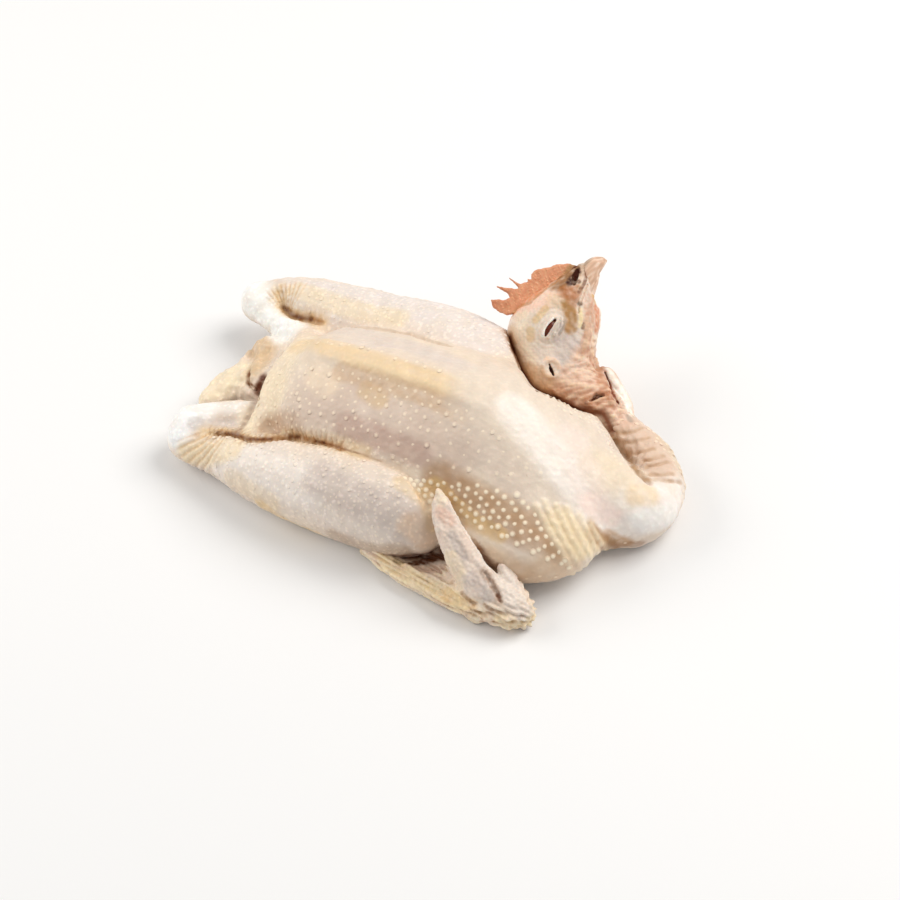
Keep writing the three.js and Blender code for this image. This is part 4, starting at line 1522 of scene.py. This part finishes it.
def flesh_finish(name, roughness, see_through, pore, pore_depth, grain_depth, tipped=False):
    """A painted flesh material: its colour from the mesh, and pores and fine grain in millimetres."""
    material = new_material(name)
    tree = material.node_tree
    tone = stored(tree, "paint", "Color")
    if tipped:
        share = ranged(tree, stored(tree, "rise", "Fac"), {"From Min": 0.04, "From Max": 0.75})
        tip = stored(tree, "tip", "Color")
        tone = add_node(tree, "ShaderNodeMix", {"data_type": "RGBA", 0: share, 6: tone, 7: tip})[2]
    place = add_node(tree, "ShaderNodeTexCoord")["Object"]
    cells = {"feature": "SMOOTH_F1", "Scale": 1 / (pore * MM), "Vector": place}
    pores = add_node(tree, "ShaderNodeTexVoronoi", cells)["Distance"]
    pits = ranged(tree, pores, {"interpolation_type": "SMOOTHSTEP", "From Min": 0.45, "From Max": 0.05})
    pebbles = maths(tree, "MULTIPLY", pits, stored(tree, "goose", "Fac"))
    tint = ranged(tree, noise(tree, place, 2.4, 3.0), {"To Min": 0.965, "To Max": 1.035})
    light_and_dark = {"To Min": 1.0 - 0.3 * pore_depth, "To Max": 1.0 + 0.7 * pore_depth}
    shade = maths(tree, "MULTIPLY", tint, ranged(tree, pebbles, light_and_dark))
    colour = add_node(tree, "ShaderNodeVectorMath", {"operation": "SCALE", 0: tone, "Scale": shade})
    wet = noise(tree, place, 9, 2.0)
    rough = ranged(tree, wet, {"To Min": roughness - 0.08, "To Max": roughness + 0.1})
    dimpled = bump(tree, pore_depth, {"Height": pebbles})
    grained = bump(tree, grain_depth, {"Height": noise(tree, place, 0.8, 3.0), "Normal": dimpled})
    flesh = {
        "Base Color": colour["Vector"],
        "Roughness": rough,
        "Normal": grained,
        "Subsurface Weight": see_through,
        "Subsurface Radius": (1.0, 0.5, 0.3),
        "Subsurface Scale": 1.2 * MM,
        "IOR": 1.4,
    }
    return surfaced(material, flesh)


def wet_eye():
    """A dull wet eye, dark red-brown between the lids."""
    material = new_material("wet_eye")
    tree = material.node_tree
    veins = noise(tree, add_node(tree, "ShaderNodeTexCoord")["Object"], 1.5, 2.0)
    browns = {6: (*linear("5A2418"), 1), 7: (*linear("7E3A26"), 1)}
    colour = add_node(tree, "ShaderNodeMix", {"data_type": "RGBA", 0: veins, **browns})[2]
    return surfaced(material, {"Roughness": 0.2, "IOR": 1.38, "Base Color": colour})


# Raw scalded skin: moist and slightly see-through, with a soft broken shine.
scalded_skin = flesh_finish("raw_scalded_skin", 0.4, 0.08, 2.3, 0.2, 0.05)
# Raw comb flesh: dull and pebbled all over with papillae.
comb_flesh = flesh_finish("raw_comb_flesh", 0.5, 0.2, 1.3, 0.2, 0.08)
# Raw face skin: the same skin, thinner and smooth over the skull.
face_skin = flesh_finish("raw_face_skin", 0.4, 0.25, 1.6, 0.07, 0.06)
# Feather follicles: fatty cream domes of the same skin, paler towards the tip.
follicle_skin = flesh_finish("raw_follicle_skin", 0.45, 0.0, 1.5, 0.02, 0.03, tipped=True)
# Beak horn: smooth, grown in lengthwise layers.
beak_horn = flesh_finish("grown_beak_horn", 0.36, 0.1, 2.0, 0.03, 0.03)

# Follicles on the bird: domes that one tree sets on points of the skin

TRACT_ROWS = [  # pixel points of the follicles beside the wing, row by row
    [(405, 478), (411, 480), (417, 481), (424, 480.5), (431, 482), (438, 485), (444, 483)],
    [(414, 485), (419, 490), (425, 496), (430, 502)],
    [(421, 485), (426, 490), (432, 495), (437, 500)],
    [(461, 511), (467, 516.5), (475, 521.5), (480.5, 527.5)],
    [(451, 494), (455.5, 499), (462.5, 504), (470, 509), (476, 514), (483, 519.5), (491.5, 527), (502, 536)],
    [(452, 487), (459, 490), (465.5, 496), (470.5, 502), (479, 506.5), (484, 512), (490, 518), (498, 526.5),
     (507, 536), (517, 544)],
    [(459, 485), (468, 489), (476, 493.5), (481, 498.5), (487, 505), (493, 511.5), (499, 517.5), (505.5, 524),
     (512.5, 534), (523, 542.5), (533, 552)],
    [(477.5, 485.5), (486, 492), (492.5, 497.5), (498.5, 503.5), (503.5, 510), (508.5, 517.5), (514.5, 524),
     (521.5, 532), (529, 540), (538.5, 550), (547.5, 559)],
    [(497, 491), (504.5, 497), (512, 503), (515.5, 510), (521.5, 517), (525, 523), (530.5, 531.5),
     (537, 538.5), (544.5, 546.5), (553, 556.5), (561.5, 563.5)],
    [(517, 495), (523, 502.5), (528, 508), (535, 515), (537.5, 523), (541, 529), (546, 536.5), (552, 544),
     (559, 552), (565, 560), (569, 567)],
]  # fmt: skip
DOT_GIRTH = (1.7, 1.7, 0.3)  # half sizes along and across the row, and the rise
FOLLICLE_SINK = 0.02
SKIRT_DROP = -3.0  # how steeply a dome's skirt runs down into the skin
SHOULDER_RIM = [
    (563, 407), (577, 414), (590, 419), (600, 428), (609, 443), (617, 455), (626, 466), (635, 475),
]  # fmt: skip
NECK_RIM = [(640, 423), (652, 431), (664, 445), (675, 459), (682, 473), (684.5, 490), (684, 504)]
# Pixel points and lines that bound the scatter.
KEEL_BAND = np.array([(300, 352), (350, 358), (400, 371), (450, 388)], float)
NEAR_SIDE_FROM = (310, 432)
SLOPE_FROM = 440
SLOPE_EDGE = (455, 400, 0.83)  # a point of the bare slope's lower edge, and how the edge falls
FAR_SIDE_TO = 560
TRACT_BOX = (400, 625, 474, 575)
# Millimetres between follicles, and half sizes with the rise.
SPACINGS = {"near side": 6.0, "breast": 4.1, "leg": 3.0, "flap": 3.4, "rim": 2.7}
LEG_GIRTH = (0.95, 0.95, 0.06)
BREAST_GIRTH = (1.25, 1.25, 0.09)
PLACES_TRIED = 45000


def skin_under(points):
    """The nearest points of the finished skin."""
    found = [body_skin.closest_point_on_mesh(Vector((p - PART_ORIGIN) * MM))[1] for p in points]
    return np.array(found) / MM + PART_ORIGIN


def on_skin(points):
    """The nearest points of the finished skin, and which way it faces over a millimetre round each."""
    spots = skin_under(points)
    facing = slope_of(body_form, spots)
    across = np.cross(facing, (0.3, 0.9, 0.2))
    across /= np.linalg.norm(across, axis=1)[:, None]
    ways = [skin_under(spots + way) - skin_under(spots - way) for way in (across, np.cross(facing, across))]
    rise = np.cross(*ways)
    rise *= np.sign((rise * facing).sum(1))[:, None]
    rise /= np.maximum(np.linalg.norm(rise, axis=1), 1e-9)[:, None]
    return spots, np.where((rise * facing).sum(1)[:, None] > 0.9, rise, facing)


def rim_share(points):
    """1 on the edges that stand out against the neck and the floor, 0 beyond 4 mm of them."""
    return clamped(2 - np.min([nearest(row, points)[0] for row in RIM_PATHS], axis=0) / 2)


def spacing_at(points, spots):
    """How far apart the scattered follicles are, or 0 where the skin has none."""
    x, y, z = points.T
    right, down = spots.T
    leg_gap = legs_form.distance(points)
    near_side = (down > NEAR_SIDE_FROM[1]) & (right > NEAR_SIDE_FROM[0]) & (y < 0)
    gap = np.where(near_side, SPACINGS["near side"], SPACINGS["breast"])
    gap = np.where(leg_gap < 1.5, SPACINGS["leg"], gap)
    gap = np.where((x < -58) & (np.abs(y) < 42) & (z > 18), SPACINGS["flap"], gap)
    bare = (z < 3) | (x < -104) | ((x < -80) & (np.abs(y) < 36) & (z < 30))
    edge_at, edge_height, edge_fall = SLOPE_EDGE
    bare |= (right > SLOPE_FROM) & (down < edge_height + edge_fall * (right - edge_at)) & (y < 45)
    bare |= nearest(KEEL_BAND, spots)[0] < 11
    bare |= trunk_form.distance(points) > 0.8
    bare |= (y > 4) & (leg_gap > 1.5) & (right < FAR_SIDE_TO)
    gap = np.where(rim_share(points) > 0.3, SPACINGS["rim"], np.where(bare, 0, gap))
    bare = (nearest(MARKS["shoulder edge"], points)[0] < 2.6) | (head_form.distance(points) < 1.5)
    for paths, reach in ((SHOULDER_SHADE_PATHS[:2], 3), (CREASE_SHADE_PATHS[1:], 2.2)):
        for path, *_ in paths:
            bare |= nearest(path, points)[0] < reach
    left_end, right_end, top, bottom = TRACT_BOX
    beside_wing = (right > left_end) & (right < right_end) & (down > top) & (down < bottom)
    return np.where(bare | (beside_wing & (y < 0) & (x > 10)), 0, gap)


STEPS = list(itertools.product((-1, 0, 1), repeat=3))


def scattered(points, gaps, seed):
    """A random choice of the points, none nearer to another than its own gap."""
    rng = np.random.default_rng(seed)
    taken = {}
    chosen = []
    for i in rng.permutation(len(points)):
        if gaps[i] == 0:
            continue
        home = tuple((points[i] // 5).astype(int))
        around = [(home[0] + a, home[1] + b, home[2] + c) for a, b, c in STEPS]
        near = [spot for cell in around for spot in taken.get(cell, ())]
        if near and (((np.array(near) - points[i]) ** 2).sum(1) < gaps[i] ** 2).any():
            continue
        taken.setdefault(home, []).append(points[i])
        chosen.append(i)
    return np.array(chosen)


FOLLICLE_INPUTS = {
    "Geometry": "Geometry",
    "Sides": "Int",
    "Rings": "Int",
    "Size Spread": "Float",
    "Seed": "Int",
}


def follicle_tree(material):
    """Domes of one shape on a mesh's vertices: a rise in the middle and a skirt that runs into the skin."""
    tree = bpy.data.node_groups.new("feather_follicles", "GeometryNodeTree")
    for name, kind in FOLLICLE_INPUTS.items():
        tree.interface.new_socket(name, in_out="INPUT", socket_type="NodeSocket" + kind)
    tree.interface.new_socket("Geometry", in_out="OUTPUT", socket_type="NodeSocketGeometry")
    start = add_node(tree, "NodeGroupInput")
    shape = {"fill_type": "NGON", "Radius Top": 0.0, "Radius Bottom": 1.2, "Depth": 1.0}
    counts = {"Vertices": start["Sides"], "Side Segments": start["Rings"]}
    cone = add_node(tree, "GeometryNodeMeshCone", {**shape, **counts})
    place = add_node(tree, "GeometryNodeInputPosition")[0]
    flat = vector_maths(tree, "MULTIPLY", place, (1, 1, 0))[0]
    square = vector_maths(tree, "DOT_PRODUCT", flat, flat)["Value"]
    fall = maths(tree, "SUBTRACT", 1.0, square, clamp=True)
    rise = maths(tree, "MULTIPLY", fall, fall)
    height = maths(tree, "MULTIPLY_ADD", maths(tree, "SUBTRACT", square, 1.0, clamp=True), SKIRT_DROP, rise)
    mark = {"data_type": "FLOAT", "domain": "POINT", "Name": "rise", "Geometry": cone["Mesh"], "Value": rise}
    marked = add_node(tree, "GeometryNodeStoreNamedAttribute", mark)[0]
    split = add_node(tree, "ShaderNodeSeparateXYZ", {0: place})
    bell = add_node(tree, "ShaderNodeCombineXYZ", {0: split[0], 1: split[1], 2: height})[0]
    dome = add_node(tree, "GeometryNodeSetPosition", {"Geometry": marked, "Position": bell})[0]
    smooth = add_node(tree, "GeometryNodeSetShadeSmooth", {"Geometry": dome, "Shade Smooth": True})[0]
    foot = {"Geometry": smooth, "Selection": cone["Bottom"], "Shade Smooth": False}
    flat_foot = add_node(tree, "GeometryNodeSetShadeSmooth", foot)[0]
    marks = add_node(tree, "GeometryNodeMeshToPoints", {"Mesh": start["Geometry"]})[0]
    facing, heading, girth = [
        add_node(tree, "GeometryNodeInputNamedAttribute", {"data_type": "FLOAT_VECTOR", "Name": name})
        for name in ("facing", "heading", "girth")
    ]
    axes = {"primary_axis": "Z", "secondary_axis": "X", 0: facing["Attribute"], 1: heading["Attribute"]}
    turn = add_node(tree, "FunctionNodeAxesToRotation", axes)[0]
    least, most = [maths(tree, operation, 1.0, start["Size Spread"]) for operation in ("SUBTRACT", "ADD")]
    spread = {"data_type": "FLOAT", 2: least, 3: most, "Seed": start["Seed"]}
    chance = add_node(tree, "FunctionNodeRandomValue", spread)[1]
    scale = {"operation": "SCALE", 0: girth["Attribute"], "Scale": chance}
    size = add_node(tree, "ShaderNodeVectorMath", scale)[0]
    setting = {"Points": marks, "Instance": flat_foot, "Rotation": turn, "Scale": size}
    copies = add_node(tree, "GeometryNodeInstanceOnPoints", setting)[0]
    real = add_node(tree, "GeometryNodeRealizeInstances", {0: copies})[0]
    dressed = add_node(tree, "GeometryNodeSetMaterial", {"Geometry": real, "Material": material})[0]
    add_node(tree, "NodeGroupOutput", {"Geometry": dressed})
    return tree


def follicle_piece(name, points, facings, headings, girths, tips, seed):
    """Domes on the points: facing out, drawn out along headings, with half sizes and rise in millimetres."""
    mesh = bpy.data.meshes.new(name)
    mesh.vertices.add(len(points))
    sunk_points = (points - FOLLICLE_SINK * facings - PART_ORIGIN) * MM
    mesh.vertices.foreach_set("co", sunk_points.astype(np.float32).ravel())
    rows = {"facing": facings, "heading": headings, "girth": girths * MM}
    for key, value in rows.items():
        layer = mesh.attributes.new(key, "FLOAT_VECTOR", "POINT")
        layer.data.foreach_set("vector", value.astype(np.float32).ravel())
    for key, value in {"paint": skin_tones(points), "tip": tips}.items():
        layer = mesh.attributes.new(key, "FLOAT_COLOR", "POINT")
        rgba = np.column_stack([clamped(value), np.ones(len(value))])
        layer.data.foreach_set("color", rgba.astype(np.float32).ravel())
    piece = bpy.data.objects.new(name, mesh)
    bpy.context.scene.collection.objects.link(piece)
    grow = piece.modifiers.new("follicles", "NODES")
    grow.node_group = FOLLICLES
    sizes = {"Sides": 8, "Rings": 4, "Size Spread": 0.15, "Seed": seed}
    for item in FOLLICLES.interface.items_tree:
        if item.item_type == "SOCKET" and item.in_out == "INPUT" and item.name in sizes:
            grow[item.identifier] = sizes[item.name]
    bake(piece, smooth=False)
    for key in rows:
        if key in piece.data.attributes:
            piece.data.attributes.remove(piece.data.attributes[key])
    return piece


FOLLICLES = follicle_tree(follicle_skin)
RIM_PATHS = [seen(body_form, SHOULDER_RIM), seen(body_form, NECK_RIM)]
tract_rows = [seen(body_form, row) for row in TRACT_ROWS]
tract_points, tract_facing = on_skin(np.vstack(tract_rows))
tract_piece = follicle_piece(
    "breast_follicles",
    tract_points,
    tract_facing,
    np.vstack([np.gradient(row, axis=0) for row in tract_rows]),
    np.tile(DOT_GIRTH, (len(tract_points), 1)),
    mixed(skin_tones(tract_points), ("FFF2D8", np.full(len(tract_points), 0.85))),
    3,
)

skin_points = points_of(body_skin)
skin_points = skin_points[np.random.default_rng(5).permutation(len(skin_points))[:PLACES_TRIED]]
chosen = scattered(skin_points, spacing_at(skin_points, pixels_of(skin_points)), 6)
loose_points, loose_facing = on_skin(skin_points[chosen])
on_leg = legs_form.distance(loose_points) < 1.5
loose_girths = np.where(on_leg[:, None], LEG_GIRTH, BREAST_GIRTH)
loose_girths[:, 2] += 0.1 * rim_share(loose_points)
loose_piece = follicle_piece(
    "skin_follicles",
    loose_points,
    loose_facing,
    np.tile((1.0, 0.2, 0.1), (len(loose_points), 1)),
    loose_girths,
    mixed(skin_tones(loose_points), ("FBEAD0", np.where(on_leg, 0.4, 0.6))),
    4,
)

FINISHES = {
    "body": scalded_skin,
    "near_wing": scalded_skin,
    "far_wing": scalded_skin,
    "head": face_skin,
    "comb": comb_flesh,
    "beak": beak_horn,
    "eyes": wet_eye(),
}
for name, finish in FINISHES.items():
    skins[name].data.materials.append(finish)
pieces = [*skins.values(), tract_piece, loose_piece]

# Stage: floor, lights and camera

FLOOR_REACH = 3.0
SKY_COLOUR = (1.0, 0.995, 0.985, 1)
SKY_STRENGTH = 0.455


def area_light(name, at, size, power, colour, aim=(0.0, 0.0, 0.03)):
    lamp = bpy.data.lights.new(name, "AREA")
    lamp.shape = "SQUARE"
    lamp.size = size
    lamp.energy = power
    lamp.color = linear(colour)
    holder = bpy.data.objects.new(name, lamp)
    away = np.array(at) - np.array(aim)
    holder.matrix_world = Matrix.Translation(at) @ looking_back(away).to_4x4()
    bpy.context.scene.collection.objects.link(holder)
    return holder


def looking_back(away):
    """A turn whose -Z looks against away."""
    back = away / np.linalg.norm(away)
    right = np.cross((0, 0, 1), back)
    right = right / np.linalg.norm(right)
    return Matrix(np.column_stack([right, np.cross(back, right), back]).tolist())


floor_mesh = bpy.data.meshes.new("floor")
floor_corners = [(x * FLOOR_REACH, y * FLOOR_REACH, 0) for x, y in ((-1, -1), (1, -1), (1, 1), (-1, 1))]
floor_mesh.from_pydata(floor_corners, [], [(0, 1, 2, 3)])
floor = bpy.data.objects.new("floor", floor_mesh)
paper = {"Roughness": 0.8, "Base Color": (*linear("EFF0F2"), 1)}
floor.data.materials.append(surfaced(new_material("matt_paper_floor"), paper))
bpy.context.scene.collection.objects.link(floor)

area_light("key", (0.75, 0.75, 1.3), 1.1, 20.4, "FFFBF5")
area_light("fill", (-1.3, -0.45, 0.95), 1.2, 13, "FFFAF2")

world = bpy.data.worlds.new("studio")
world.use_nodes = True
world.node_tree.nodes["Background"].inputs["Color"].default_value = SKY_COLOUR
world.node_tree.nodes["Background"].inputs["Strength"].default_value = SKY_STRENGTH
bpy.context.scene.world = world

camera_data = bpy.data.cameras.new("photo_camera")
camera_data.lens = LENS
camera_data.sensor_width = SENSOR
camera_data.clip_start = 0.05
camera_data.clip_end = 20
camera = bpy.data.objects.new("photo_camera", camera_data)
turn = Matrix(np.column_stack([CAMERA_RIGHT, CAMERA_UP, CAMERA_BACK]).tolist()).to_4x4()
camera.matrix_world = Matrix.Translation((CAMERA_AT - PART_ORIGIN) * MM) @ turn
bpy.context.scene.collection.objects.link(camera)
bpy.context.scene.camera = camera
bpy.context.scene.view_settings.view_transform = "Standard"

for piece in pieces:
    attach(piece, "root")
    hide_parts("cockerel")
